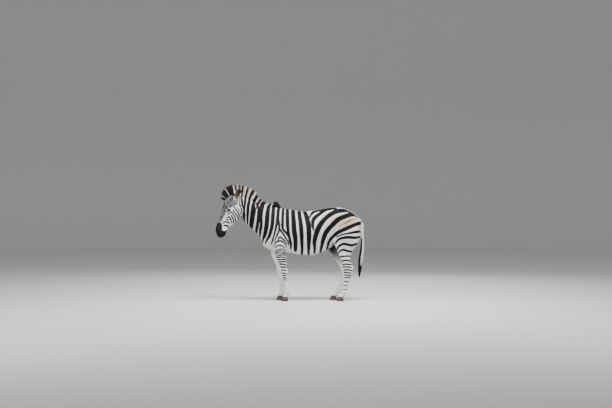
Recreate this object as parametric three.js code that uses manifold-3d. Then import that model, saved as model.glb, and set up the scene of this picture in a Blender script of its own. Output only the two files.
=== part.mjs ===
// A plains zebra (Equus quagga), standing still, life size, as a museum model.
// Millimetres. +Z is up, -X is towards the nose and -Y is the animal's left side. The origin lies on the
// ground, under the middle of the animal's outline. Outlines reach to the tips of the coat and mane.
import * as THREE from "three";
import { mergeVertices } from "three/addons/utils/BufferGeometryUtils.js";
import Module from "manifold-3d";

const wasm = await Module();
wasm.setup();

// ---- driving dimensions --------------------------------------------------------------------------------
const GAP = 0.3; // the thin cut between two named parts
const CORONET_HEIGHT = 56; // where the coat ends and the hoof wall begins
const FAR_FORE_STEP = -70; // the right forefoot stands this far ahead of the left one
const HEAD_POLL = new THREE.Vector3(-783, -6, 1431); // top of the skull, between the ears
const HEAD_DROOP = THREE.MathUtils.degToRad(68); // the face's slope below the horizon
const HEAD_TURN = THREE.MathUtils.degToRad(9); // the face's turn towards the animal's left
const EYE = { along: 173, out: 20, side: 72, radius: 20 };
const EAR = { length: 186, width: 88, depth: 64, wall: 7 };
const FAR = 4000; // half the side of a block that stands for a half space
const REACH = 900; // larger than any part's width

// ---- sections and lofts --------------------------------------------------------------------------------
// A station is one cross-section: the points where it meets the upper (or front) and lower (or rear)
// outline in the side view, its half width and side offset, the share of its height below the widest
// line, and how square its upper and lower halves are (2 is an ellipse, less is more peaked).
function station(upper, lower, half, { y = 0, split = 0.5, top = 2, low = 2 } = {}) {
  return {
    ends: new THREE.Vector4(upper[0], upper[1], lower[0], lower[1]),
    sides: new THREE.Vector3(half, y, split),
    squareness: new THREE.Vector3(top, low, 0),
  };
}

// Catmull-Rom between neighbouring stations, for any of the vectors that a station holds.
function between(stations, key, at) {
  const last = stations.length - 1;
  const i = Math.min(Math.floor(at), last - 1);
  const s = at - i;
  const [p0, p1, p2, p3] = [i - 1, i, i + 1, i + 2].map(
    (k) => stations[THREE.MathUtils.clamp(k, 0, last)][key],
  );
  const weights = [
    -0.5 * s ** 3 + s ** 2 - 0.5 * s,
    1.5 * s ** 3 - 2.5 * s ** 2 + 1,
    -1.5 * s ** 3 + 2 * s ** 2 + 0.5 * s,
    0.5 * s ** 3 - 0.5 * s ** 2,
  ];
  const sum = p1.clone().multiplyScalar(weights[1]);
  return sum.addScaledVector(p0, weights[0]).addScaledVector(p2, weights[2]).addScaledVector(p3, weights[3]);
}

const power = (value, squareness) => Math.sign(value) * Math.abs(value) ** (2 / squareness);

// A cylinder whose rings are wrapped to the stations. swells are smooth local bumps.
function loft(stations, { steps = 2, around = 20, swells = [] } = {}) {
  const rings = (stations.length - 1) * steps;
  const geometry = new THREE.CylinderGeometry(1, 1, 1, around, rings);
  const spot = geometry.attributes.position;
  const point = new THREE.Vector3();
  for (let i = 0; i < spot.count; i++) {
    const at = (0.5 - spot.getY(i)) * (stations.length - 1);
    const reach = Math.hypot(spot.getX(i), spot.getZ(i));
    const across = reach ? spot.getX(i) / reach : 0;
    const up = reach ? spot.getZ(i) / reach : 0;
    const { x: upX, y: upZ, z: lowX, w: lowZ } = between(stations, "ends", at);
    const { x: half, y: side, z: split } = between(stations, "sides", at);
    const { x: top, y: low } = between(stations, "squareness", at);
    const squareness = up > 0 ? top : low;
    const rise = split + reach * power(up, squareness) * (up > 0 ? 1 - split : split);
    point.set(
      lowX + (upX - lowX) * rise,
      side + reach * half * power(across, squareness),
      lowZ + (upZ - lowZ) * rise,
    );
    for (const { at: centre, size, push } of swells) {
      const away = point.clone().sub(centre).divide(size).lengthSq();
      point.addScaledVector(push, Math.exp(-away));
    }
    spot.setXYZ(i, point.x, point.y, point.z);
  }
  return solid(geometry);
}

// A swell on both sides of the animal: the push turns round with the side.
function pair(x, y, z, size, push) {
  return [-1, 1].map((side) => ({
    at: new THREE.Vector3(x, y * side, z),
    size: new THREE.Vector3(...size),
    push: new THREE.Vector3(push[0], push[1] * side, push[2]),
  }));
}

// ---- solids --------------------------------------------------------------------------------------------
function solid(geometry) {
  const bare = geometry.clone().deleteAttribute("normal").deleteAttribute("uv");
  const merged = mergeVertices(bare, 1e-3);
  const vertProperties = new Float32Array(merged.attributes.position.array);
  const triVerts = new Uint32Array(merged.index.array);
  const made = new wasm.Manifold(new wasm.Mesh({ numProp: 3, vertProperties, triVerts }));
  if (made.volume() > 0) return made;
  return new wasm.Manifold(new wasm.Mesh({ numProp: 3, vertProperties, triVerts: triVerts.reverse() }));
}

// Everything on one side of a plane in the side view: it goes through a point and faces along an angle.
function beyond([x, z], degrees, offset = 0) {
  const turn = THREE.MathUtils.degToRad(degrees);
  const block = new THREE.BoxGeometry(2 * FAR, 2 * FAR, 2 * FAR).translate(FAR + offset, 0, 0);
  return solid(block.rotateY(-turn).translate(x, 0, z));
}

function block(low, high) {
  const size = high.map((value, i) => value - low[i]);
  const middle = high.map((value, i) => (value + low[i]) / 2);
  return solid(new THREE.BoxGeometry(...size).translate(...middle));
}

function placed(shape, matrix) {
  return shape.transform(matrix.elements);
}

// ---- the torso: neck, chest, barrel and rump -----------------------------------------------------------
const TORSO = [
  station([-726, 1462], [-770, 1235], 56, { split: 0.5 }), // inside the head
  station([-655, 1464], [-700, 1158], 66, { split: 0.46, top: 1.9 }), // throatlatch
  station([-560, 1424], [-628, 1090], 74, { split: 0.44, top: 1.8 }),
  station([-455, 1374], [-540, 1010], 84, { split: 0.42, top: 1.75 }), // middle of the neck
  station([-353, 1336], [-458, 930], 102, { split: 0.42, top: 1.7 }),
  station([-268, 1320], [-400, 840], 134, { split: 0.42, top: 1.65, low: 2.2 }), // base of the neck
  station([-183, 1312], [-353, 748], 168, { split: 0.42, top: 1.6, low: 2.3 }), // breast
  station([-99, 1300], [-226, 698], 186, { split: 0.44, top: 1.6, low: 2.1 }), // withers
  station([0, 1284], [-71, 682], 195, { split: 0.45, top: 1.65, low: 1.9 }), // girth
  station([99, 1268], [56, 660], 222, { split: 0.46, top: 1.8, low: 2 }),
  station([197, 1258], [183, 640], 243, { split: 0.46, top: 1.9, low: 2.1 }), // barrel
  station([296, 1264], [310, 636], 248, { split: 0.47, top: 1.95, low: 2.1 }),
  station([395, 1282], [423, 666], 241, { split: 0.5, top: 2, low: 2 }), // loin
  station([494, 1301], [522, 716], 226, { split: 0.56, top: 2.05, low: 1.9 }), // flank
  station([592, 1312], [606, 760], 217, { split: 0.6, top: 2.1, low: 1.8 }), // hip
  station([691, 1313], [691, 797], 208, { split: 0.58, top: 2.15, low: 1.8 }), // croup
  station([790, 1290], [776, 815], 193, { split: 0.54, top: 2.1, low: 1.8 }),
  station([888, 1238], [860, 838], 164, { split: 0.5, top: 2 }), // tail head
  station([968, 1172], [935, 872], 116, { split: 0.5 }),
  station([1004, 1110], [986, 946], 56, { split: 0.5 }), // below the tail
];
const TORSO_SWELLS = [
  ...pair(-330, 120, 880, [90, 90, 110], [-14, 10, 0]), // point of the shoulder
  ...pair(560, 190, 1225, [60, 80, 60], [0, 14, 10]), // point of the hip
  ...pair(690, 190, 1090, [150, 90, 130], [0, 12, 0]), // gluteal muscle
  ...pair(500, 235, 1130, [90, 80, 90], [0, -10, 0]), // hollow of the flank
];

// ---- the legs ------------------------------------------------------------------------------------------
// Rows run down the left leg: front and rear outline in the side view, half width and distance out.
const FORELEG = [
  station([-218, 1225], [-138, 1225], 26, { y: 62 }),
  station([-252, 1110], [-112, 1110], 30, { y: 92 }), // shoulder blade
  station([-312, 975], [-84, 975], 60, { y: 127 }),
  station([-305, 860], [-72, 850], 70, { y: 136 }), // upper arm
  station([-248, 765], [-50, 745], 68, { y: 138 }), // elbow
  station([-222, 705], [-46, 692], 61, { y: 132 }),
  station([-198, 628], [-48, 625], 53, { y: 127 }), // forearm
  station([-160, 543], [-44, 543], 45, { y: 123 }),
  station([-125, 458], [-35, 458], 38, { y: 120 }),
  station([-117, 393], [-26, 393], 40, { y: 119, top: 2.4 }), // knee
  station([-97, 330], [-26, 325], 32, { y: 118 }),
  station([-84, 247], [-22, 247], 25, { y: 117 }), // cannon
  station([-78, 180], [-12, 176], 26, { y: 116 }),
  station([-80, 128], [0, 122], 34, { y: 116 }), // fetlock
  station([-90, 84], [-24, 72], 30, { y: 116 }), // pastern
  station([-108, 55], [-26, 50], 39, { y: 116 }), // coronet
];
const HINDLEG = [
  station([722, 1200], [842, 1200], 30, { y: 60 }),
  station([640, 1090], [912, 1080], 66, { y: 92 }),
  station([588, 975], [994, 965], 88, { y: 116 }), // thigh
  station([596, 870], [976, 850], 86, { y: 126 }), // stifle
  station([626, 778], [925, 765], 78, { y: 128 }),
  station([661, 698], [876, 698], 64, { y: 126 }),
  station([697, 627], [856, 622], 52, { y: 124 }), // gaskin
  station([722, 557], [858, 556], 43, { y: 122 }),
  station([735, 508], [878, 512], 38, { y: 121, low: 1.7 }),
  station([748, 450], [890, 462], 41, { y: 120, low: 1.7 }), // hock
  station([758, 392], [878, 398], 39, { y: 119, low: 1.8 }),
  station([762, 331], [852, 331], 31, { y: 118 }),
  station([752, 254], [826, 254], 26, { y: 116 }), // cannon
  station([733, 178], [804, 176], 27, { y: 115 }),
  station([713, 126], [796, 120], 34, { y: 114 }), // fetlock
  station([692, 82], [762, 70], 30, { y: 114 }), // pastern
  station([666, 54], [752, 49], 38, { y: 114 }), // coronet
];
// How far each station of the right hind leg lies ahead of the left one.
const FAR_HIND_STEPS = [0, 0, -45, -92, -112, -115, -105, -78, -60, -40, -30, -30, -52, -68, -76, -80, -88];
const FAR_FORE_SHARES = [0, 0, 0.2, 0.45, 0.75, 0.9, 1, 1, 1, 1, 1, 1, 1, 1, 1, 1];

// The same leg on one side, each station moved along by its own step.
function legStations(rows, side, steps) {
  return rows.map(({ ends, sides, squareness }, i) => ({
    ends: new THREE.Vector4(ends.x + steps[i], ends.y, ends.z + steps[i], ends.w),
    sides: new THREE.Vector3(sides.x, sides.y * side, sides.z),
    squareness,
  }));
}

const LEGS = [
  { name: "foreleg_left", rows: FORELEG, side: -1, steps: FORELEG.map(() => 0), hoof: "fore" },
  { name: "foreleg_right", rows: FORELEG, side: 1, steps: FAR_FORE_SHARES.map((s) => s * FAR_FORE_STEP), hoof: "fore" },
  { name: "hindleg_left", rows: HINDLEG, side: -1, steps: HINDLEG.map(() => 0), hoof: "hind" },
  { name: "hindleg_right", rows: HINDLEG, side: 1, steps: FAR_HIND_STEPS, hoof: "hind" },
];

// A hoof is a cut-off cone with a sloping toe: rows give height, toe, heel and half width.
const HOOF_ROWS = {
  fore: [
    [CORONET_HEIGHT, -108, -25, 39],
    [30, -117, -21, 43],
    [0, -128, -18, 47],
  ],
  hind: [
    [CORONET_HEIGHT, 666, 751, 37],
    [30, 656, 755, 41],
    [0, 644, 758, 45],
  ],
};

function hoof({ hoof: kind, rows, side, steps }) {
  const foot = rows[rows.length - 1];
  const shift = steps[steps.length - 1];
  const rings = HOOF_ROWS[kind].map(([height, toe, heel, half]) =>
    station([toe + shift, height - (height ? GAP : 0)], [heel + shift, height - (height ? GAP : 0)], half, {
      y: foot.sides.y * side,
      split: 0.42,
      top: 2.2,
      low: 2.3,
    }),
  );
  return loft(rings, { steps: 1, around: 18 });
}

// ---- the head ------------------------------------------------------------------------------------------
// Head stations use the head's own axes: along the skull from the poll to the lips, and out towards the
// bridge of the nose. They are turned to the head's droop and turn afterwards.
const headStation = (along, bridge, jaw, half, options, lean = 0) =>
  station([along, bridge], [along + lean, jaw], half, options);
const HEAD = [
  headStation(-38, 64, -62, 40, { split: 0.5 }),
  headStation(-6, 88, -112, 62, { split: 0.55 }), // poll
  headStation(40, 112, -150, 74, { split: 0.6 }),
  headStation(90, 121, -172, 82, { split: 0.64, low: 1.8 }, 6), // forehead
  headStation(140, 118, -182, 86, { split: 0.68, low: 1.7 }, 16),
  headStation(190, 109, -180, 82, { split: 0.68, low: 1.7 }, 24), // eyes
  headStation(240, 102, -160, 73, { split: 0.66, low: 1.8 }, 26),
  headStation(290, 97, -129, 63, { split: 0.6, low: 1.9 }, 22),
  headStation(340, 95, -106, 55, { split: 0.56 }, 16),
  headStation(390, 96, -87, 50, { split: 0.54 }, 10), // bridge of the nose
  headStation(435, 97, -75, 51, { split: 0.54, top: 2.2 }, 5),
  headStation(478, 92, -70, 55, { split: 0.54, top: 2.2, low: 2.2 }), // nostrils
  headStation(516, 77, -68, 55, { split: 0.5, top: 2.3, low: 2.2 }),
  headStation(548, 55, -58, 47, { split: 0.45, top: 2.3, low: 2.2 }), // lips
  headStation(572, 27, -36, 31, { split: 0.4 }),
];
const HEAD_SWELLS = [
  ...pair(150, 82, 54, [42, 40, 30], [0, 13, 6]), // brow over the eye
  ...pair(225, 78, -60, [85, 60, 75], [0, 9, 0]), // cheek muscle
  ...pair(475, 50, 62, [34, 34, 30], [0, 9, 6]), // wing of the nostril
  ...pair(430, 52, -4, [60, 40, 40], [0, -5, 0]), // hollow behind the lips
  ...pair(110, 88, 28, [28, 36, 24], [0, -8, 0]), // hollow of the temple
];

// Head axes (along, side, out) to the animal's: the skull droops from the poll, and the face turns.
const HEAD_MATRIX = new THREE.Matrix4()
  .makeTranslation(HEAD_POLL)
  .multiply(new THREE.Matrix4().makeRotationZ(HEAD_TURN))
  .multiply(
    new THREE.Matrix4().makeBasis(
      new THREE.Vector3(-Math.cos(HEAD_DROOP), 0, -Math.sin(HEAD_DROOP)),
      new THREE.Vector3(0, 1, 0),
      new THREE.Vector3(-Math.sin(HEAD_DROOP), 0, Math.cos(HEAD_DROOP)),
    ),
  );

function eyeball(side, radius) {
  const ball = new THREE.SphereGeometry(radius, 16, 10).translate(EYE.along, EYE.side * side, EYE.out);
  return placed(solid(ball), HEAD_MATRIX);
}

// ---- the ears ------------------------------------------------------------------------------------------
// An ear stands on its own axis, with its opening facing +X of its own frame before it is turned.
const EAR_ROWS = [
  [-0.1, 0.4, 0.62],
  [0.05, 0.5, 0.76],
  [0.2, 0.8, 0.94],
  [0.38, 1, 1],
  [0.58, 1, 0.84],
  [0.76, 0.84, 0.6],
  [0.9, 0.56, 0.38],
  [1, 0.18, 0.16],
];
const EAR_FRAMES = [-1, 1].map((side) => ({
  side,
  root: new THREE.Vector3(side < 0 ? 6 : 2, 40 * side, side < 0 ? -14 : 6), // in the head's axes
  backward: THREE.MathUtils.degToRad(side < 0 ? 24 : 6), // the tip's lean away from the forehead
  outward: THREE.MathUtils.degToRad(18),
  opening: THREE.MathUtils.degToRad(side < 0 ? 62 : 48), // how far the opening turns from the front to the side
}));

function earShell(shrink, forward) {
  const rows = EAR_ROWS.map(([at, width, depth]) => {
    const z = at * EAR.length - shrink * (at > 0.95 ? 1 : 0);
    const half = Math.max((width * EAR.width) / 2 - shrink, 2);
    const front = (depth * EAR.depth) / 2 - shrink;
    return station([front + forward, z], [-front + forward, z], half);
  });
  return loft(rows, { steps: 1, around: 12 });
}

function ear({ side, root, backward, outward, opening }) {
  const scoop = earShell(EAR.wall, EAR.depth * 0.34).intersect(block([-90, -90, EAR.length * 0.12], [160, 90, 400]));
  const shape = earShell(0, 0).subtract(scoop);
  const origin = root.clone().applyMatrix4(HEAD_MATRIX);
  const matrix = new THREE.Matrix4()
    .makeTranslation(origin)
    .multiply(new THREE.Matrix4().makeRotationX(-outward * side))
    .multiply(new THREE.Matrix4().makeRotationY(backward))
    .multiply(new THREE.Matrix4().makeRotationZ(Math.PI - opening * side));
  const above = (offset) => placed(block([-150, -150, EAR.length * 0.1 + offset], [150, 150, 400]), matrix);
  return {
    shape: placed(shape, matrix),
    room: placed(earShell(-GAP, 0), matrix).intersect(above(0)),
    part: placed(shape, matrix).intersect(above(GAP)),
  };
}

// ---- the mane and the tail -----------------------------------------------------------------------------
// The mane stands along the crest: root and tip in the side view, from the forelock to the withers.
const tuft = (tip, root, half) => station(tip, root, half, { top: 3, low: 3 });
const MANE = [
  tuft([-965, 1425], [-905, 1405], 15),
  tuft([-972, 1488], [-880, 1428], 21),
  tuft([-945, 1570], [-852, 1455], 24),
  tuft([-880, 1622], [-815, 1462], 22),
  tuft([-800, 1652], [-768, 1466], 21),
  tuft([-715, 1638], [-716, 1452], 21),
  tuft([-630, 1622], [-664, 1448], 20),
  tuft([-560, 1592], [-612, 1430], 20),
  tuft([-482, 1548], [-556, 1404], 19),
  tuft([-446, 1470], [-500, 1380], 18),
  tuft([-385, 1412], [-440, 1345], 16),
  tuft([-320, 1384], [-370, 1320], 15),
  tuft([-262, 1376], [-300, 1305], 15),
  tuft([-206, 1400], [-240, 1298], 15),
  tuft([-178, 1398], [-196, 1292], 14),
  tuft([-140, 1325], [-150, 1288], 10),
];
const TAIL = [
  station([905, 1190], [860, 1130], 34),
  station([1000, 1150], [955, 1090], 33),
  station([1037, 1080], [978, 1045], 31), // root of the tail
  station([1048, 985], [994, 975], 28),
  station([1050, 890], [998, 885], 26),
  station([1049, 790], [996, 790], 26), // where the long hair begins
  station([1046, 690], [980, 690], 32, { y: -3 }),
  station([1036, 590], [962, 590], 36, { y: -5 }),
  station([1022, 500], [956, 500], 34, { y: -6 }),
  station([1008, 420], [956, 420], 26, { y: -6 }),
  station([992, 350], [962, 350], 12, { y: -5 }),
];

// ---- one whole animal, parted with thin cuts -----------------------------------------------------------
const headShape = placed(loft(HEAD, { steps: 2, around: 20, swells: HEAD_SWELLS }), HEAD_MATRIX);
const legShapes = LEGS.map((leg) =>
  loft(legStations(leg.rows, leg.side, leg.steps), { steps: 1, around: 14 }).intersect(
    block([-FAR, -FAR, CORONET_HEIGHT], [FAR, FAR, FAR]),
  ),
);
const tailShape = loft(TAIL, { steps: 1, around: 12 });
const ears = EAR_FRAMES.map(ear);
const maneShape = loft(MANE, { steps: 2, around: 8 });

const whole = [
  loft(TORSO, { steps: 2, around: 22, swells: TORSO_SWELLS }),
  ...legShapes,
  headShape,
  ...ears.map(({ shape }) => shape),
].reduce((sum, shape) => sum.add(shape));

// Planes in the side view: a point, and the way the plane faces.
const THROAT_PLANE = [[-712, 1300], 8];
const WITHERS_PLANE = [[-300, 1080], -12];
const TASSEL_HEIGHT = 800;
const LEG_CUTS = {
  fore: { inner: 58, front: -420, rear: -12, plane: [[-180, 736], -86] },
  hind: { inner: 34, front: 600, rear: 1200, plane: [[780, 826], -76] },
};

// The leg's own corner of the whole: below a plane, beside the midline and on its own half of the length.
function legRegion({ side, hoof: kind, steps }, grown) {
  const { inner, front, rear, plane } = LEG_CUTS[kind];
  const [low, high] = side < 0 ? [-REACH, grown - inner] : [inner - grown, REACH];
  const step = Math.min(...steps.slice(0, 5));
  const corner = block([front + step - grown, low, -10], [rear + step * 0.4 + grown, high, 1000]);
  return corner.intersect(beyond(plane[0], plane[1], -grown));
}

const behindHead = beyond(...THROAT_PLANE, GAP);
const headSide = whole.subtract(beyond(...THROAT_PLANE));
const headRegion = headSide.intersect(block([-2000, -REACH, 0], [-600, REACH, 2500]));
const eyeSockets = [-1, 1].map((side) => eyeball(side, EYE.radius + GAP));

const parts = {};
parts.head = ears.reduce((sum, { room }) => sum.subtract(room), headRegion);
eyeSockets.forEach((socket) => {
  parts.head = parts.head.subtract(socket);
});

const behindNeck = beyond(...WITHERS_PLANE, GAP);
parts.neck = ears.reduce(
  (sum, { room }) => sum.subtract(room),
  whole.intersect(behindHead).subtract(beyond(...WITHERS_PLANE)),
);
parts.trunk = LEGS.reduce((sum, leg) => sum.subtract(legRegion(leg, GAP)), whole.intersect(behindNeck));
const legs = LEGS.map((leg) => [leg.name, whole.intersect(legRegion(leg, 0))]);

function largest(shape) {
  return shape.decompose().sort((a, b) => b.volume() - a.volume())[0];
}

const tail = tailShape.subtract(whole.add(whole.translate([GAP, 0, GAP])));
const bodyShades = {
  white: { color: 0xe8e4dc, roughness: 0.85, metalness: 0 },
  pale: { color: 0xddd8ce, roughness: 0.85, metalness: 0 },
  black: { color: 0x17161a, roughness: 0.8, metalness: 0 },
  horn: { color: 0x3a342f, roughness: 0.45, metalness: 0 },
  eye: { color: 0x120c09, roughness: 0.08, metalness: 0 },
};

const zebra = new THREE.Group();
zebra.name = "zebra";

function addPart(name, shape, shade) {
  const { numProp, vertProperties, triVerts, numVert } = largest(shape).getMesh();
  const corners = new Float32Array(numVert * 3);
  for (let i = 0; i < numVert; i++) corners.set(vertProperties.subarray(i * numProp, i * numProp + 3), i * 3);
  const geometry = new THREE.BufferGeometry();
  geometry.setAttribute("position", new THREE.BufferAttribute(corners, 3));
  geometry.setIndex(new THREE.BufferAttribute(new Uint32Array(triVerts), 1));
  geometry.computeVertexNormals();
  const mesh = new THREE.Mesh(geometry, new THREE.MeshStandardMaterial(bodyShades[shade]));
  mesh.name = name;
  zebra.add(mesh);
}

addPart("head", parts.head, "white");
addPart("neck", parts.neck, "white");
addPart("trunk", parts.trunk, "white");
legs.forEach(([name, shape]) => addPart(name, shape, "pale"));
LEGS.forEach((leg) => addPart(leg.name.replace("leg", "hoof"), hoof(leg), "horn"));
addPart("eye_left", eyeball(-1, EYE.radius), "eye");
addPart("eye_right", eyeball(1, EYE.radius), "eye");
ears.forEach(({ part }, i) => addPart(EAR_FRAMES[i].side < 0 ? "ear_left" : "ear_right", part, "white"));
addPart("tail_dock", tail.intersect(block([0, -REACH, TASSEL_HEIGHT + GAP], [FAR, REACH, FAR])), "white");
addPart("tail_tassel", tail.intersect(block([0, -REACH, 0], [FAR, REACH, TASSEL_HEIGHT])), "black");
addPart("mane", maneShape.subtract(whole.add(whole.translate([-GAP, 0, GAP]))), "black");

export default zebra;
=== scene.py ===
import math

import bmesh
import bpy
import numpy as np
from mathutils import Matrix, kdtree


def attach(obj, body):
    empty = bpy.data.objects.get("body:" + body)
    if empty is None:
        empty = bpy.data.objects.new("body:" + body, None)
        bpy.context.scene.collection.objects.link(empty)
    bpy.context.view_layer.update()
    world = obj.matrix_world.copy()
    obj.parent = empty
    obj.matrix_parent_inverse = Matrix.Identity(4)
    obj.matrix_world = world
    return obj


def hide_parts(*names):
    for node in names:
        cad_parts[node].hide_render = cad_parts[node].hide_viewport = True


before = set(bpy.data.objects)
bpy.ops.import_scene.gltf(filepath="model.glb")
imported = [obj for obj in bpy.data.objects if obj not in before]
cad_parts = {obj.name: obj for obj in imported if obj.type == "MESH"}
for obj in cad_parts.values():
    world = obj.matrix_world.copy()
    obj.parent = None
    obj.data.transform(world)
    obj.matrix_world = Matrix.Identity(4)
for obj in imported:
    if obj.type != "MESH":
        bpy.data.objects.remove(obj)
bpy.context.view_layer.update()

# Studio. A pale matt floor runs under the animal and curves up into a low wall all round it. Soft boxes
# hang above and to the sides, and the camera looks straight across the left side, level with the chest.
SWEEP_COLOUR = (0.62, 0.62, 0.615, 1)
FLOOR_RADIUS = 20.0
COVE = 5.0  # radius of the curve between floor and wall
WALL_TOP = 12.0
AIR_COLOUR = (0.86, 0.9, 0.95, 1)
AIR_LIGHT = 0.5
SOFT_BOXES = {  # place, aim, width, depth, watts, colour
    "overhead_box": ((0.9, -1.8, 5.4), (0.1, 0, 0.9), 3.0, 2.4, 640, (1, 0.96, 0.91)),
    "front_left_box": ((-5.5, -6.5, 3.6), (-0.2, 0, 0.9), 3.0, 2.4, 330, (1, 0.98, 0.96)),
    "front_right_box": ((6.0, -6.0, 2.6), (0.2, 0, 0.8), 3.5, 3.0, 170, (0.95, 0.97, 1)),
    "behind_box": ((1.0, 5.5, 4.2), (0, 0, 1.0), 5.0, 2.0, 200, (1, 0.98, 0.95)),
}
CAMERA_PLACE = (0.226, -16.0, 1.276)
CAMERA_TILT = 90.3
LENS_LENGTH = 66.75


def placed(name, data):
    """A new object in the scene that holds a mesh, a lamp or a camera."""
    made = bpy.data.objects.new(name, data)
    bpy.context.scene.collection.objects.link(made)
    return made


def smooth_shaded(mesh):
    mesh.polygons.foreach_set("use_smooth", [True] * len(mesh.polygons))


def finish(name, sockets):
    """A material whose shader has these plain values: the material, its node tree and its shader."""
    material = bpy.data.materials.new(name)
    material.use_nodes = True
    shader = material.node_tree.nodes["Principled BSDF"]
    for socket, value in sockets.items():
        shader.inputs[socket].default_value = value
    return material, material.node_tree, shader


def studio_sweep():
    """A round floor whose edge curves up into a low wall, so that it looks the same from every side."""
    bm = bmesh.new()
    profile = [(0, 0), (6, 0), (14, 0), (FLOOR_RADIUS, 0)]
    for a in np.linspace(0, math.pi / 2, 13)[1:]:
        profile.append((FLOOR_RADIUS + COVE * math.sin(a), COVE * (1 - math.cos(a))))
    profile.append((FLOOR_RADIUS + COVE, WALL_TOP))
    line = [bm.verts.new((out, 0, up)) for out, up in profile]
    edges = [bm.edges.new(pair) for pair in zip(line[:-1], line[1:])]
    bmesh.ops.spin(bm, geom=line + edges, axis=(0, 0, 1), angle=2 * math.pi, steps=72, use_merge=True)
    bmesh.ops.remove_doubles(bm, verts=bm.verts, dist=1e-4)
    bmesh.ops.recalc_face_normals(bm, faces=bm.faces)
    mesh = bpy.data.meshes.new("studio_sweep")
    bm.to_mesh(mesh)
    bm.free()
    smooth_shaded(mesh)
    return placed("studio_sweep", mesh)


sweep = studio_sweep()
sweep.data.materials.append(finish("pale sweep paper", {"Base Color": SWEEP_COLOUR, "Roughness": 0.9})[0])

for name, (place, aim, width, depth, watts, colour) in SOFT_BOXES.items():
    lamp = bpy.data.lights.new(name, "AREA")
    lamp.shape = "RECTANGLE"
    lamp.size = width
    lamp.size_y = depth
    lamp.energy = watts
    lamp.color = colour
    box = placed(name, lamp)
    toward = np.subtract(aim, place)
    box.location = place
    box.rotation_euler = (
        math.acos(-toward[2] / np.linalg.norm(toward)),
        0,
        math.atan2(toward[1], toward[0]) - math.pi / 2,
    )

air = bpy.data.worlds.new("pale studio air")
air.use_nodes = True
air.node_tree.nodes["Background"].inputs["Color"].default_value = AIR_COLOUR
air.node_tree.nodes["Background"].inputs["Strength"].default_value = AIR_LIGHT
bpy.context.scene.world = air

lens = bpy.data.cameras.new("side view")
lens.lens = LENS_LENGTH
camera = placed("side view", lens)
camera.location = CAMERA_PLACE
camera.rotation_euler = (math.radians(CAMERA_TILT), 0, 0)
bpy.context.scene.camera = camera

# Skin. One closed hide over the trunk, neck, head, ears, legs and dock, with the swell of muscle and
# bone under it. It is lofted from cross-sections, fused, smoothed and then raised or hollowed in places.
COAT_DEPTH = 4.0  # the hide lies this far inside the tips of the hair, mm
SLIM_DEPTH = 2.5  # the same on the legs and the head, where the hair is short
# Rows: upper (or front) x and z, lower (or rear) x and z, half width, distance out, share of the height
# below the widest line, squareness above it and below it. All in mm.
TORSO = [
    (-726, 1462, -770, 1235, 56, 0, 0.5, 2, 2),  # inside the head
    (-655, 1464, -700, 1158, 66, 0, 0.46, 1.9, 2),  # throatlatch
    (-560, 1424, -628, 1090, 74, 0, 0.44, 1.8, 2),
    (-455, 1374, -540, 1010, 84, 0, 0.42, 1.75, 2),  # middle of the neck
    (-353, 1336, -458, 930, 102, 0, 0.42, 1.7, 2),
    (-268, 1320, -400, 840, 134, 0, 0.42, 1.65, 2.2),  # base of the neck
    (-183, 1312, -353, 748, 168, 0, 0.42, 1.6, 2.3),  # breast
    (-99, 1300, -226, 698, 186, 0, 0.44, 1.6, 2.1),  # withers
    (0, 1284, -71, 682, 195, 0, 0.45, 1.65, 1.9),  # girth
    (99, 1268, 56, 660, 222, 0, 0.46, 1.8, 2),
    (197, 1258, 183, 640, 243, 0, 0.46, 1.9, 2.1),  # barrel
    (296, 1264, 310, 636, 248, 0, 0.47, 1.95, 2.1),
    (395, 1282, 423, 666, 241, 0, 0.5, 2, 2),  # loin
    (494, 1301, 522, 716, 226, 0, 0.56, 2.05, 1.9),  # flank
    (592, 1312, 606, 760, 217, 0, 0.6, 2.1, 1.8),  # hip
    (691, 1313, 691, 797, 208, 0, 0.58, 2.15, 1.8),  # croup
    (790, 1290, 776, 815, 193, 0, 0.54, 2.1, 1.8),
    (888, 1238, 860, 838, 164, 0, 0.5, 2, 2),  # tail head
    (968, 1172, 935, 872, 116, 0, 0.5, 2, 2),
    (1000, 1110, 986, 946, 56, 0, 0.5, 2, 2),  # below the tail
]
FORELEG = [
    (-218, 1225, -138, 1225, 26, 62, 0.5, 2, 2),
    (-252, 1110, -112, 1110, 30, 92, 0.5, 2, 2),  # shoulder blade
    (-312, 975, -84, 975, 60, 127, 0.5, 2, 2),
    (-305, 860, -72, 850, 70, 136, 0.5, 2, 2),  # upper arm
    (-248, 765, -50, 745, 68, 138, 0.5, 2, 2),  # elbow
    (-222, 705, -46, 692, 61, 132, 0.5, 2, 2),
    (-198, 628, -48, 625, 53, 127, 0.5, 2, 2),  # forearm
    (-160, 543, -44, 543, 45, 123, 0.5, 2, 2),
    (-125, 458, -35, 458, 38, 120, 0.5, 2, 2),
    (-117, 393, -26, 393, 40, 119, 0.5, 2.4, 2),  # knee
    (-97, 330, -26, 325, 32, 118, 0.5, 2, 2),
    (-84, 247, -22, 247, 25, 117, 0.5, 2, 2),  # cannon
    (-78, 180, -12, 176, 26, 116, 0.5, 2, 2),
    (-80, 128, 0, 122, 34, 116, 0.5, 2, 2),  # fetlock
    (-90, 84, -24, 72, 30, 116, 0.5, 2, 2),  # pastern
    (-108, 55, -26, 50, 39, 116, 0.5, 2, 2),  # coronet
]
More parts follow.
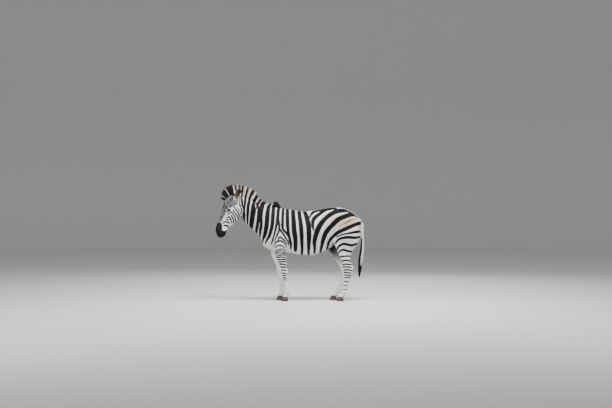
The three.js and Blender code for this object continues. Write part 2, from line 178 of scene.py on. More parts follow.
HINDLEG = [
    (722, 1200, 842, 1200, 30, 60, 0.5, 2, 2),
    (640, 1090, 912, 1080, 66, 92, 0.5, 2, 2),
    (588, 975, 994, 965, 88, 116, 0.5, 2, 2),  # thigh
    (596, 870, 976, 850, 86, 126, 0.5, 2, 2),  # stifle
    (626, 778, 925, 765, 78, 128, 0.5, 2, 2),
    (661, 698, 876, 698, 64, 126, 0.5, 2, 2),
    (697, 627, 856, 622, 52, 124, 0.5, 2, 2),  # gaskin
    (722, 557, 858, 556, 43, 122, 0.5, 2, 1.9),
    (735, 508, 878, 512, 38, 121, 0.5, 2, 1.7),
    (748, 450, 890, 462, 41, 120, 0.5, 2, 1.7),  # hock
    (758, 392, 878, 398, 39, 119, 0.5, 2, 1.8),
    (762, 331, 852, 331, 31, 118, 0.5, 2, 2),
    (752, 254, 826, 254, 26, 116, 0.5, 2, 2),  # cannon
    (733, 178, 804, 176, 27, 115, 0.5, 2, 2),
    (713, 126, 796, 120, 34, 114, 0.5, 2, 2),  # fetlock
    (692, 82, 762, 70, 30, 114, 0.5, 2, 2),  # pastern
    (666, 54, 752, 49, 38, 114, 0.5, 2, 2),  # coronet
]
# How far the right legs stand ahead of the left ones, by height.
FAR_FORE_STEP = ((54, 628, 705, 765, 860, 975, 1110), (-70, -70, -63, -52, -31, -14, 0))
FAR_HIND_STEP = (
    (54, 82, 126, 178, 254, 331, 392, 450, 508, 557, 627, 698, 778, 870, 975, 1090),
    (-88, -80, -76, -68, -52, -30, -30, -40, -60, -78, -105, -115, -112, -92, -45, 0),
)
# Head rows use the head's own axes: along the skull from the poll, and out towards the bridge of the nose.
HEAD = [
    (-38, 64, -38, -62, 40, 0, 0.5, 2, 2),
    (-6, 88, -6, -112, 62, 0, 0.55, 2, 2),  # poll
    (40, 112, 40, -150, 74, 0, 0.6, 2, 2),
    (90, 121, 96, -172, 82, 0, 0.64, 2, 1.8),  # forehead
    (140, 118, 156, -182, 86, 0, 0.68, 2, 1.7),
    (190, 109, 214, -180, 82, 0, 0.68, 2, 1.7),  # eyes
    (240, 102, 266, -160, 73, 0, 0.66, 2, 1.8),
    (290, 97, 312, -129, 63, 0, 0.6, 2, 1.9),
    (340, 95, 356, -106, 55, 0, 0.56, 2, 2),
    (390, 96, 400, -87, 50, 0, 0.54, 2, 2),  # bridge of the nose
    (435, 97, 440, -75, 51, 0, 0.54, 2.2, 2),
    (478, 92, 478, -70, 55, 0, 0.54, 2.2, 2.2),  # nostrils
    (516, 77, 516, -68, 55, 0, 0.5, 2.3, 2.2),
    (548, 55, 548, -58, 47, 0, 0.45, 2.3, 2.2),  # lips
    (570, 30, 570, -38, 34, 0, 0.42, 2, 2),
    (582, 6, 580, -20, 16, 0, 0.45, 2, 2),
]
POLL = np.array([-783, -6, 1431.0])
DROOP = math.radians(68)  # the face's slope below the horizon
HEAD_TURN = math.radians(9)  # the face's turn towards the animal's left
DOCK = [
    (905, 1190, 860, 1130, 32, 0, 0.5, 2, 2),
    (1000, 1150, 955, 1090, 30, 0, 0.5, 2, 2),
    (1036, 1080, 980, 1045, 26, 0, 0.5, 2, 2),  # root of the tail
    (1044, 985, 998, 975, 22, 0, 0.5, 2, 2),
    (1043, 890, 1003, 885, 19, 0, 0.5, 2, 2),
    (1037, 790, 1002, 790, 16, 0, 0.5, 2, 2),
    (1027, 700, 998, 700, 12, -3, 0.5, 2, 2),
    (1016, 640, 996, 640, 7, -4, 0.5, 2, 2),
]
FUSE_FINE, FUSE_QUICK = 0.0038, 0.0065  # grain of the fused hide, m
GIVEN_BACK = 1.04  # share of each smoothing round that the next one undoes, so that the form doesn't shrink


def between(rows, at):
    """A smooth curve through the rows, read at these row numbers."""
    rows = np.asarray(rows, float)
    last = len(rows) - 1
    i = np.clip(np.floor(at).astype(int), 0, last - 1)
    s = (at - i)[:, None]
    p0, p1, p2, p3 = (rows[np.clip(i + k, 0, last)] for k in (-1, 0, 1, 2))
    bend = (2 * p0 - 5 * p1 + 4 * p2 - p3) * s**2 + (3 * (p1 - p2) + p3 - p0) * s**3
    return 0.5 * (2 * p1 + (p2 - p0) * s + bend)


def unit(vector):
    return vector / np.linalg.norm(vector, axis=-1, keepdims=True)


def step(low, high, value):
    """0 below low, 1 above high and a smooth rise between them."""
    share = np.clip((value - low) / (high - low), 0, 1)
    return share * share * (3 - 2 * share)


def points_of(mesh):
    points = np.empty(len(mesh.vertices) * 3)
    mesh.vertices.foreach_get("co", points)
    return points.reshape(-1, 3)


def wrapped_grid(around, rings, wrap):
    """A grid rolled into a closed form: wrap gives the place in mm of each (turn, ring, reach)."""
    bm = bmesh.new()
    bmesh.ops.create_grid(bm, x_segments=around, y_segments=rings, size=1)
    mesh = bpy.data.meshes.new("rolled")
    bm.to_mesh(mesh)
    flat = points_of(mesh)
    ring = (flat[:, 1] + 1) / 2 * rings
    reach = np.interp(np.minimum(ring, rings - ring), (0, 1, 2), (0, 0.72, 1))
    share = np.clip((ring - 2) / (rings - 4), 0, 1)
    mesh.vertices.foreach_set("co", (wrap(flat[:, 0] * math.pi, share, reach) * 0.001).ravel())
    bm.free()
    bm = bmesh.new()
    bm.from_mesh(mesh)
    bpy.data.meshes.remove(mesh)
    bmesh.ops.remove_doubles(bm, verts=bm.verts, dist=1e-6)
    bmesh.ops.recalc_face_normals(bm, faces=bm.faces)
    return bm


def body_loft(rows, around=40, side=1, steps=((0, 1), (0, 0)), inset=COAT_DEPTH, place=None):
    """A closed form through the rows; steps move a right leg ahead by height, place turns the head."""

    def wrap(turn, share, reach):
        r = between(rows, share * (len(rows) - 1))
        across, up = np.cos(turn), np.sin(turn)
        sharp = np.where(up > 0, r[:, 7], r[:, 8])
        rise = np.sign(up) * np.abs(up) ** (2 / sharp) * np.where(up > 0, 1 - r[:, 6], r[:, 6])
        rise = r[:, 6] + reach * rise
        long = np.hypot(r[:, 0] - r[:, 2], r[:, 1] - r[:, 3])
        keep = 1 - 2 * inset / long
        rise = 0.5 + (rise - 0.5) * keep
        half = (r[:, 4] - inset) * reach
        x = r[:, 2] + (r[:, 0] - r[:, 2]) * rise
        z = r[:, 3] + (r[:, 1] - r[:, 3]) * rise
        y = side * (r[:, 5] + half * np.sign(across) * np.abs(across) ** (2 / sharp))
        if side > 0:
            x = x + np.interp(z, *steps)
        points = np.stack([x, y, z], 1)
        return place(points) if place else points

    return wrapped_grid(around, 6 * len(rows) + 4, wrap)


def from_head(points):
    """The head's axes (along, side, out) to the animal's."""
    along, side, out = points.T
    x = -math.cos(DROOP) * along - math.sin(DROOP) * out
    z = -math.sin(DROOP) * along + math.cos(DROOP) * out
    turned_x = x * math.cos(HEAD_TURN) - side * math.sin(HEAD_TURN)
    turned_y = x * math.sin(HEAD_TURN) + side * math.cos(HEAD_TURN)
    return np.stack([turned_x, turned_y, z], 1) + POLL


def to_head(points):
    """The animal's axes to the head's."""
    x, y, z = (points - POLL).T
    ahead = x * math.cos(HEAD_TURN) + y * math.sin(HEAD_TURN)
    side = -x * math.sin(HEAD_TURN) + y * math.cos(HEAD_TURN)
    along = -math.cos(DROOP) * ahead - math.sin(DROOP) * z
    out = -math.sin(DROOP) * ahead + math.cos(DROOP) * z
    return np.stack([along, side, out], 1)


def half_head(points):
    """The head's axes with its right half folded on to the left one, and each point's own side."""
    skull = to_head(points)
    side = np.where(skull[:, 1] < 0, -1, 1)
    skull[:, 1] = np.abs(skull[:, 1])
    return skull, side


def joined(bms, name):
    """One object from several forms."""
    mesh = bpy.data.meshes.new(name)
    whole = bmesh.new()
    for bm in bms:
        bm.to_mesh(mesh)
        bm.free()
        whole.from_mesh(mesh)
    whole.to_mesh(mesh)
    whole.free()
    return placed(name, mesh)


def finished(obj):
    """The object's mesh with its modifiers worked into it."""
    made = bpy.data.meshes.new_from_object(obj.evaluated_get(bpy.context.evaluated_depsgraph_get()))
    obj.modifiers.clear()
    old = obj.data
    obj.data = made
    bpy.data.meshes.remove(old)
    return made


def removed(obj):
    mesh = obj.data
    bpy.data.objects.remove(obj)
    bpy.data.meshes.remove(mesh)


flesh = [
    body_loft(TORSO, around=80),
    body_loft(HEAD, around=64, inset=SLIM_DEPTH, place=from_head),
    body_loft(DOCK, around=24, inset=0),
]
for side in (-1, 1):
    flesh.append(body_loft(FORELEG, side=side, steps=FAR_FORE_STEP, inset=SLIM_DEPTH))
    flesh.append(body_loft(HINDLEG, side=side, steps=FAR_HIND_STEP, inset=SLIM_DEPTH))
skin = joined(flesh, "skin")
fuse = skin.modifiers.new("fuse", "REMESH")
fuse.mode = "VOXEL"
fuse.voxel_size = FUSE_FINE


class Surface:
    """The hide's vertices in mm, with the links between them, for smoothing and shaping."""

    def __init__(self, mesh):
        self.mesh = mesh
        self.points = points_of(mesh) * 1000
        links = np.empty(len(mesh.edges) * 2, int)
        mesh.edges.foreach_get("vertices", links)
        self.a, self.b = links.reshape(-1, 2).T
        self.count = np.maximum(np.bincount(np.concatenate([self.a, self.b]), minlength=len(self.points)), 1)

    def average(self, values):
        if values.ndim == 1:
            total = np.bincount(self.a, values[self.b], len(values))
            total += np.bincount(self.b, values[self.a], len(values))
            return total / self.count
        return np.stack([self.average(column) for column in values.T], 1)

    def smooth(self, rounds, share, keep_volume=True):
        share = np.asarray(share)
        share = share[:, None] if share.ndim else share
        for _ in range(rounds):
            self.points += (self.average(self.points) - self.points) * share
            if keep_volume:
                self.points -= (self.average(self.points) - self.points) * share * GIVEN_BACK

    def store(self):
        self.mesh.vertices.foreach_set("co", (self.points * 0.001).ravel())
        self.mesh.update()

    def normals(self):
        self.store()
        found = np.empty(len(self.points) * 3)
        self.mesh.vertices.foreach_get("normal", found)
        return found.reshape(-1, 3)


def blob(points, centre, size):
    """1 at the centre, falling away to 0 round it."""
    return np.exp(-(((points - np.array(centre)) / np.array(size)) ** 2).sum(1))


def left_side(points):
    """Where each point would be on the left side of an animal whose right legs stood beside its left ones."""
    x, y, z = points.T
    right = np.clip(y / 25, 0, 1)
    fore = np.interp(z, *FAR_FORE_STEP) * np.clip((150 - x) / 150, 0, 1) * np.clip((x + 480) / 80, 0, 1)
    hind = np.interp(z, *FAR_HIND_STEP) * np.clip((x - 300) / 220, 0, 1)
    return np.stack([x - right * (fore + hind), np.abs(y), z], 1)


# Where one form runs into the next: the centre and the spread of the smoothing.
JOINS = [
    ((-190, 150, 960), (190, 120, 260)),  # shoulder
    ((-150, 110, 760), (150, 110, 90)),
    ((760, 130, 950), (230, 150, 270)),  # thigh
    ((720, 90, 780), (200, 110, 90)),
    ((-720, 0, 1330), (90, 140, 170)),  # throat and poll
    ((-700, 0, 1200), (60, 80, 80)),
    ((990, 0, 1120), (50, 60, 70)),  # tail
]
# Muscle and bone: where (x, distance out, z), how far it spreads in each direction, and how high, mm.
BODY_FORM = [
    ((-345, 132, 885), (50, 60, 55), 10),  # point of the shoulder
    ((-215, 160, 1080), (55, 60, 90), 5),  # shoulder blade muscles
    ((-165, 165, 1190), (30, 60, 60), -3),
    ((-120, 185, 925), (85, 80, 75), 10),  # triceps
    ((-28, 195, 905), (22, 60, 100), -6),  # hollow behind the triceps
    ((-262, 175, 1000), (18, 60, 80), -4),
    ((-58, 150, 762), (26, 45, 26), 8),  # point of the elbow
    ((-112, 160, 745), (26, 50, 22), -5),
    ((-328, 58, 800), (48, 42, 62), 8),  # breast muscles
    ((-392, 0, 850), (50, 15, 90), -8),  # groove between them
    ((-178, 160, 640), (32, 40, 68), 6),  # forearm
    ((-120, 178, 628), (14, 40, 60), -3),
    ((0, 165, 712), (52, 80, 48), -6),  # girth
    ((-330, 150, 960), (30, 50, 60), -5),
    ((586, 195, 868), (24, 50, 80), 8),  # fold of the flank
    ((520, 235, 900), (42, 60, 70), -7),
    ((590, 185, 1215), (46, 50, 40), 6),  # point of the hip
    ((520, 215, 1180), (50, 60, 60), -8),  # hollow of the flank
    ((700, 170, 1190), (110, 80, 70), 6),  # rump muscle
    ((640, 200, 1060), (26, 60, 70), -4),
    ((884, 165, 950), (16, 60, 115), -5),  # groove between the thigh muscles
    ((956, 92, 1085), (38, 46, 44), 7),  # seat bone
    ((624, 190, 852), (32, 45, 34), 8),  # stifle
    ((672, 200, 800), (24, 50, 40), -5),
    ((702, 170, 655), (44, 48, 78), 5),  # gaskin
    ((834, 150, 565), (15, 50, 62), -8),  # hollow in front of the hamstring
    ((834, 92, 565), (15, 30, 62), -7),
    ((884, 120, 476), (15, 32, 22), 5),  # point of the hock
    ((800, 158, 436), (20, 16, 22), 5),
    ((800, 82, 436), (20, 16, 22), 5),
    ((772, 120, 395), (16, 40, 30), 2),
    ((-78, 155, 402), (30, 18, 28), 4),  # knee
    ((-78, 84, 402), (30, 18, 28), 4),
    ((-30, 128, 428), (13, 18, 16), 6),
    ((-112, 119, 425), (14, 26, 24), 3),
    ((-44, 142, 262), (7, 14, 90), -4),  # grooves beside the tendons
    ((-44, 93, 262), (7, 14, 90), -4),
    ((800, 144, 290), (8, 14, 90), -4),
    ((800, 92, 290), (8, 14, 90), -4),
    ((-6, 116, 122), (15, 24, 20), 4),  # back of the fetlock
    ((788, 114, 122), (15, 24, 20), 4),
    ((-50, 150, 124), (24, 12, 20), 3),
    ((748, 148, 124), (24, 12, 20), 3),
    ((-620, 75, 1165), (36, 34, 36), -5),  # jugular groove
    ((-560, 80, 1095), (36, 36, 40), -5),
    ((-495, 90, 1020), (38, 38, 44), -5),
    ((-435, 108, 935), (40, 40, 44), -5),
    ((-560, 78, 1240), (90, 50, 60), 4),  # neck muscle
    ((-420, 100, 1130), (80, 60, 70), 4),
    ((-120, 75, 1266), (90, 40, 36), -5),  # beside the withers
    ((-60, 0, 1300), (110, 30, 40), 3),
    ((900, 0, 1245), (60, 22, 40), 3),
    ((780, 205, 1010), (70, 60, 90), 4),  # thigh
]
HEAD_FORM = [
    ((150, 84, 46), (30, 24, 16), 9),  # brow
    ((108, 76, 30), (22, 26, 18), -8),  # temple
    ((196, 84, 2), (26, 22, 14), 4),
    ((225, 78, 22), (30, 20, 11), 4),  # facial crest
    ((275, 66, 22), (34, 20, 11), 4),
    ((320, 56, 20), (30, 20, 12), 3),
    ((240, 74, -72), (72, 46, 56), 8),  # cheek muscle
    ((335, 54, -38), (42, 30, 26), -5),
    ((310, 50, 60), (60, 24, 22), -4),
    ((478, 52, 62), (26, 24, 24), 7),  # wing of the nostril
    ((420, 44, 66), (26, 22, 18), -4),
    ((536, 36, 26), (28, 28, 26), 3),  # upper lip
    ((522, 18, -62), (26, 28, 18), 6),  # chin
    ((430, 46, -20), (50, 26, 30), -3),
    ((60, 60, -110), (40, 40, 60), -6),  # behind the jaw
    ((60, 0, 112), (60, 22, 30), 3),
]

# The ears: share of the length, half width, reach to the front and to the back. A scoop hollows each out.
EAR_LENGTH = 183
EAR_ROWS = [
    (-0.1, 16, 18, 18),
    (0.05, 20, 20, 22),
    (0.2, 32, 22, 28),
    (0.38, 41, 19, 30),
    (0.58, 41, 14, 25),
    (0.76, 34, 10, 18),
    (0.9, 22, 7, 11),
    (1, 7, 5, 5),
]
SCOOP_ROWS = [
    (0.09, 6, 10, 6),
    (0.2, 22, 40, 22),
    (0.38, 36, 70, 26),
    (0.58, 37, 70, 21.5),
    (0.76, 30, 70, 14.5),
    (0.9, 18, 60, 8),
    (0.985, 4, 50, 2),
]
EARS = [  # side, root in the head's axes, lean back, lean out, turn of the opening from the front
    (-1, (6, -40, -14), 24, 18, 62),
    (1, (2, 40, 6), 6, 18, 48),
]


def ear_frame(side, root, backward, outward, opening):
    """An ear's axes (out of its opening, across, along) and its root, in the animal's axes."""
    tilt = math.radians(-outward * side)
    back = math.radians(backward)
    turn = math.radians(180 - opening * side)
    about_x = np.array([[1, 0, 0], [0, math.cos(tilt), -math.sin(tilt)], [0, math.sin(tilt), math.cos(tilt)]])
    about_y = np.array([[math.cos(back), 0, math.sin(back)], [0, 1, 0], [-math.sin(back), 0, math.cos(back)]])
    about_z = np.array([[math.cos(turn), -math.sin(turn), 0], [math.sin(turn), math.cos(turn), 0], [0, 0, 1]])
    return about_x @ about_y @ about_z, from_head(np.array([root], float))[0]


def in_ears(points):
    """The points in each ear's own axes, and those axes."""
    for ear in EARS:
        axes, base = ear_frame(*ear)
        yield (points - base) @ axes, axes


def ear_section(at):
    """Half width, reach to the front and reach to the back at these shares of the ear's length."""
    rows = np.array(EAR_ROWS)
    return between(rows[:, 1:], np.interp(at, rows[:, 0], range(len(rows)))).T


def ear_loft(rows, axes, root):
    def wrap(turn, share, reach):
        at, half, front, back = between(rows, share * (len(rows) - 1)).T
        across, up = np.cos(turn), np.sin(turn)
        place = [np.where(up > 0, front, back) * up * reach, half * across * reach, at * EAR_LENGTH]
        return np.stack(place, 1) @ axes.T + root

    return wrapped_grid(44, 40, wrap)


def cut(obj, tool, operation):
    """Works the tool into the object, or out of it, and takes the tool away."""
    join = obj.modifiers.new(operation, "BOOLEAN")
    join.operation = operation
    join.solver = "MANIFOLD"
    join.object = tool
    finished(obj)
    removed(tool)


HEAD_ENDS = -600  # the head's axes hold ahead of this x
FACE_ENDS = -700
# Where detail is packed closer: head-axis centre, spread, and how many times the hide is divided there.
FINE_PATCHES = [
    ((173, 76, 20), (36, 40, 34), 2),
    ((498, 48, 54), (38, 40, 36), 2),
    ((545, 20, -20), (74, 60, 30), 1),
]
EYE_CENTRE = np.array([171, 73, 15.0])
EYE_RADIUS = 20.0
EYE_OUT = np.array([0.15, 0.95, 0.27])  # the way the eye looks, in the head's axes
EYE_FRONT = np.array([0.643, 0, 0.766])  # towards its front corner
EYE_UP = np.array([-0.766, 0, 0.643])
LID_LENGTH, UPPER_LID, LOWER_LID = 58, 36, 24  # half openings, degrees round the eyeball
LID_MIDDLE = 3  # degrees ahead of the way the eye looks
NOSTRIL = {"centre": (500, 47, 57), "long": (40, 12, -40), "out": (0.3, 0.78, 0.55)}
NOSTRIL_DEPTH = 21
LIP_LINE = ((476, 500, 540, 566, 586), (-40, -33, -20, -13, -8))


def eye_axes():
    """The eye's front, up and out, in the head's axes."""
    out = unit(EYE_OUT)
    front = unit(EYE_FRONT - out * (EYE_FRONT @ out))
    up = np.cross(out, front)
    return front, up * np.sign(up @ EYE_UP), out


def eye_angles(away):
    """Degrees to the front and up round the eyeball, and mm outside the almond of the lids."""
    front, up, out = eye_axes()
    ray = unit(away)
    ahead = np.degrees(np.arctan2(ray @ front, ray @ out))
    above = np.degrees(np.arcsin(np.clip(ray @ up, -1, 1)))
    from_middle = np.abs(ahead - LID_MIDDLE)
    bow = np.clip(1 - (from_middle / LID_LENGTH) ** 2.3, 0, 1)
    upper = UPPER_LID * bow**0.85
    lower = -LOWER_LID * bow**0.75
    high = np.maximum(above - upper, lower - above)
    beyond = np.hypot(np.maximum(from_middle - LID_LENGTH, 0), np.maximum(high, 0))
    far = 0.9 * np.maximum(np.linalg.norm(away, axis=1) - EYE_RADIUS - 6, 0)
    return ahead, above, np.where(beyond > 0, beyond, high) * EYE_RADIUS * math.pi / 180 + far


def shape_lids(points):
    """Moves the hide round an eye along rays from its centre: a socket, two lids and their folds."""
    away = points - EYE_CENTRE
    long = np.linalg.norm(away, axis=1)
    near = (long < 62) & (away @ unit(EYE_OUT) > -6)
    _, above, edge = eye_angles(away[near])
    lid = EYE_RADIUS - 5.5 + 8.6 * step(-1.6, 1.0, edge) - 0.9 * step(1.5, 7, edge)
    lid -= np.where(above > 0, 2.0, 1.1) * np.exp(-(((edge - np.where(above > 0, 6.8, 5.8)) / 1.25) ** 2))
    lid += np.where(above > 0, 1.4, 0.5) * np.exp(-(((edge - 10) / 2.6) ** 2))
    hold = 1 - step(6, 24, edge)
    reach = long[near] * (1 - hold) + lid * hold
    points = points.copy()
    points[near] = EYE_CENTRE + away[near] * (reach / long[near])[:, None]
    return points


def muzzle_push(points):
    """How far the hide is pushed out (or in) along its normal at the nostrils and lips, mm."""
    away = points - np.array(NOSTRIL["centre"])
    out = unit(np.array(NOSTRIL["out"]))
    long = np.array(NOSTRIL["long"], float)
    long = unit(long - out * (long @ out))
    wide = np.cross(out, long)
    first, second = away @ long, away @ wide
    second = second - 0.012 * first**2 + 3
    ring = np.hypot(first / 23, second / np.interp(first, (-24, 0, 24), (6.5, 9.5, 7)))
    near = (np.abs(away @ out) < 34) & (points[:, 1] > 8)
    rim = 3 * np.exp(-(((ring - 1.3) / 0.3) ** 2))
    push = np.where(near, rim - NOSTRIL_DEPTH * (1 - step(0.2, 1.05, ring)), 0)
    line = points[:, 2] - np.interp(points[:, 0], *LIP_LINE)
    open_share = step(474, 496, points[:, 0])
    rolls = 1.8 * np.exp(-(((np.abs(line) - 8) / 4.5) ** 2))
    push += open_share * (rolls - 5.5 * np.exp(-((line / 2.3) ** 2)))
    push += 2.5 * np.exp(-(((points[:, 0] - 478) / 12) ** 2 + ((line + 2) / 14) ** 2)) * (points[:, 1] > 20)
    return push


hide = Surface(finished(skin))
hide.smooth(6, 0.6)
left = left_side(hide.points)
blend = np.max([blob(left, centre, size) for centre, size in JOINS], axis=0)
hide.smooth(80, 0.8 * np.clip(blend * 1.6, 0, 1), keep_volume=False)
out = hide.normals()
left = left_side(hide.points)
skull, _ = half_head(hide.points)
ahead_of_neck = hide.points[:, 0] < HEAD_ENDS
on_head = np.clip((skull[:, 0] - 10) / 60, 0, 1) * ahead_of_neck
rise = np.zeros(len(left))
for centre, size, height in BODY_FORM:
    rise += height * blob(left, centre, size) * (1 - on_head)
for centre, size, height in HEAD_FORM:
    rise += height * blob(skull, centre, size) * ahead_of_neck
hide.points += out * rise[:, None]
hide.smooth(2, 0.4)
hide.store()

for placing in EARS:
    axes, base = ear_frame(*placing)
    ear = joined([ear_loft(EAR_ROWS, axes, base)], "ear")
    scoop = joined([ear_loft(SCOOP_ROWS, axes, base)], "scoop")
    cut(ear, scoop, "DIFFERENCE")
    cut(skin, ear, "UNION")

# Markings. A zebra's hair is black in stripes and white between them, with faint brown stripes on the
# haunch. Each stripe is a curve on the animal's side, x, z and half width, and its mark is the distance
# in mm inside its edge, less than 0 outside. Both sides match apart from a slight waver.
VIEW = np.array(CAMERA_PLACE) * (1000, -1000, 1000)  # where the stripes are squared up from
NO_STRIPE = -90.0
WHITE, BLACK = -20.0, 20.0  # marks of hair that is all white, or all black
NEARBY = 70  # a stripe counts for nothing further off than this, mm
BODY_STRIPES = {
    "jaw edge": [(-699, 1347, 3.5), (-697, 1324, 5.5), (-695, 1299, 3)],
    "behind the jaw": [(-687, 1301, 4), (-684, 1269, 5.5), (-691, 1238, 5), (-702, 1215, 3)],
    "throat 1": [(-689, 1191, 3), (-689, 1163, 4), (-691, 1138, 3)],
    "throat 2": [(-667, 1234, 3), (-664, 1184, 5), (-663, 1135, 4)],
    "cheek edge": [(-694, 1473, 7), (-679, 1417, 13), (-673, 1347, 10), (-660, 1297, 4)],
    "neck 1": [(-627, 1473, 16), (-639, 1347, 12), (-649, 1276, 13), (-644, 1206, 11), (-637, 1086, 4)],
    "neck 2": [(-557, 1473, 16), (-587, 1347, 19), (-598, 1206, 17), (-601, 1050, 5)],
    "neck 3": [
        (-486, 1473, 13), (-518, 1347, 23), (-518, 1276, 36), (-526, 1206, 34), (-546, 1065, 28),
        (-539, 987, 10),
    ],
    "neck fork": [(-459, 1417, 18), (-459, 1347, 18), (-471, 1296, 5)],
    "neck 4": [
        (-380, 1403, 22), (-389, 1347, 25), (-419, 1276, 39), (-425, 1206, 38), (-429, 1149, 39),
    ],
    "neck 4 front": [(-449, 1149, 19), (-460, 1065, 20), (-473, 994, 20), (-475, 931, 12)],
    "neck 4 rear": [(-408, 1149, 18), (-407, 1065, 16), (-419, 994, 18), (-429, 867, 8)],
    "neck 5": [
        (-298, 1361, 19), (-320, 1206, 27), (-331, 1065, 27), (-357, 924, 24), (-379, 867, 13),
        (-386, 825, 5),
    ],
    "neck 6": [
        (-232, 1347, 18), (-241, 1206, 24), (-252, 1065, 22), (-288, 924, 20), (-327, 853, 13),
        (-350, 804, 5),
    ],
    "shoulder": [(-157, 1347, 16), (-164, 1276, 18), (-171, 1206, 19), (-176, 1149, 18)],
    "shoulder front": [
        (-180, 1149, 14), (-200, 1022, 12), (-228, 912, 12), (-250, 836, 11), (-265, 797, 7),
    ],
    "shoulder rear": [(-166, 1149, 12), (-152, 1011, 11), (-188, 909, 10), (-223, 825, 5)],
    "shoulder branch": [
        (-152, 1011, 11), (-109, 956, 11), (-54, 870, 10), (-32, 836, 9), (-21, 783, 5),
    ],
    "withers": [
        (-92, 1332, 13), (-104, 1206, 16), (-106, 1065, 16), (-99, 1008, 13), (-39, 931, 12),
        (-23, 902, 9),
    ],
    "girth": [
        (-37, 1332, 14), (-38, 1206, 21), (-35, 1065, 21), (-24, 956, 17), (0, 836, 15), (8, 794, 13),
        (7, 726, 6),
    ],
    "elbow tent": [(-169, 849, 7), (-148, 891, 10), (-113, 876, 9), (-68, 836, 8), (-42, 790, 4)],
    "elbow arch": [(-231, 768, 5), (-195, 821, 10), (-147, 840, 11), (-97, 826, 10), (-44, 754, 4)],
    "arm arch": [(-214, 742, 4), (-198, 760, 7), (-147, 780, 8.5), (-98, 761, 8), (-70, 741, 4)],
    "barrel 1": [
        (37, 1304, 23), (49, 1135, 28), (57, 994, 30), (76, 853, 23), (75, 712, 16), (68, 656, 8),
    ],
    "barrel 2": [
        (120, 1290, 21), (142, 1135, 25), (159, 994, 25), (165, 853, 18), (170, 712, 12),
        (164, 634, 8),
    ],
    "barrel 3": [
        (192, 1255, 12), (223, 1206, 26), (258, 1065, 30), (266, 924, 27), (264, 783, 18),
        (261, 642, 6),
    ],
    "back edge": [
        (276, 1170, 5), (307, 1227, 13), (358, 1258, 14), (434, 1279, 15), (520, 1297, 13),
        (606, 1311, 8),
    ],
    "loin": [
        (329, 994, 6), (319, 1065, 16), (324, 1128, 22), (360, 1177, 22), (479, 1262, 14),
        (564, 1290, 12), (649, 1300, 6),
    ],
    "flank 1": [
        (345, 670, 7), (348, 747, 12), (344, 839, 22), (393, 1008, 32), (488, 1146, 27),
        (629, 1246, 24), (787, 1270, 16), (846, 1251, 8),
    ],
    "flank 2": [
        (429, 684, 7), (455, 811, 18), (479, 895, 24), (520, 980, 27), (629, 1100, 27),
        (716, 1163, 25), (878, 1215, 21), (955, 1191, 15), (994, 1163, 8),
    ],
    "haunch 1": [
        (522, 726, 5), (553, 836, 13), (640, 932, 19), (705, 974, 20), (792, 1012, 20),
        (943, 1080, 17), (1022, 1098, 14),
    ],
    "haunch 2": [
        (661, 897, 4), (737, 932, 5), (776, 938, 6), (846, 950, 9), (933, 967, 13), (1008, 977, 12),
    ],
    "haunch 3": [
        (643, 804, 4), (651, 826, 8), (694, 864, 12), (747, 883, 14), (825, 890, 16), (911, 885, 15),
        (984, 897, 10),
    ],
    "thigh 1": [
        (663, 718, 4), (673, 740, 8), (694, 770, 11), (749, 798, 13), (802, 792, 14), (867, 778, 13),
        (939, 802, 9),
    ],
    "thigh 2": [(677, 670, 4), (716, 704, 9), (754, 716, 11), (802, 701, 11), (874, 688, 10)],
}
BROWN_STRIPES = {
    "haunch": [(673, 1038, 3), (737, 1076, 6), (802, 1103, 7.5), (857, 1132, 7), (955, 1151, 4)],
    "thigh": [(661, 897, 3), (737, 934, 5), (818, 946, 5)],
    "low thigh": [(733, 830, 1), (818, 840, 3), (902, 830, 1)],
}
# Bands: their heights, the leg's middle and rear, how far the top ones arch, and seeds for right and left.
FORE_BANDS = ((734, 706, 677, 648, 618, 587, 555, 519, 480, 437, 396, 363, 331, 300), -110, -62, 1, (5, 1))
HIND_BANDS = ((634, 571, 519, 482, 441, 402, 368, 331, 275, 219, 169), 790, 850, 0, (2, 3))
# On the side of the head the curves use its own axes: along the skull, out towards its bridge.
HEAD_STRIPES = {
    "cheek 0": [(97, -75, 3), (109, -95, 5), (128, -120, 5), (142, -137, 3)],
    "cheek 1": [
        (51, 13, 3), (81, -14, 4.5), (125, -60, 7), (139, -88, 7.5), (166, -123, 7.5), (190, -150, 7),
        (209, -168, 5),
    ],
    "cheek 2": [
        (154, -39, 7), (173, -68, 8), (197, -111, 8), (231, -151, 8), (253, -165, 8), (272, -171, 6),
    ],
    "cheek 3": [
        (242, 14, 5), (204, -15, 7.5), (190, -30, 6), (201, -56, 7), (224, -89, 7.5), (260, -121, 7.5),
        (288, -135, 6),
    ],
    "cheek 4": [(227, -41, 5), (240, -55, 7.5), (271, -90, 8), (314, -112, 6)],
    "cheek 5": [(283, 1, 6), (260, -26, 8), (274, -44, 8.5), (290, -63, 8.5), (326, -89, 5)],
    "cheek 6": [(313, 1, 4), (304, -17, 5.5), (298, -36, 4)],
    "lip 1": [(380, 18, 5), (356, 11, 7.5), (344, -9, 8), (337, -41, 9), (348, -66, 6)],
    "lip 2": [(408, -1, 6), (396, -14, 9), (388, -35, 9.5), (390, -57, 9.5), (401, -74, 7)],
    "before the eye": [(139, 64, 1.5), (153, 53, 3.5), (165, 42, 4)],
    "under the eye": [(206, 36, 3), (192, 11, 5), (175, -14, 4)],
    "temple 3": [(18, -43, 2), (37, -54, 4.5), (58, -64, 2)],
    "behind the ear": [(-35, -62, 7), (-1, -79, 6), (32, -92, 5), (67, -101, 3.5)],
    "before the ear": [(-3, 33, 6), (20, 21, 6)],
}
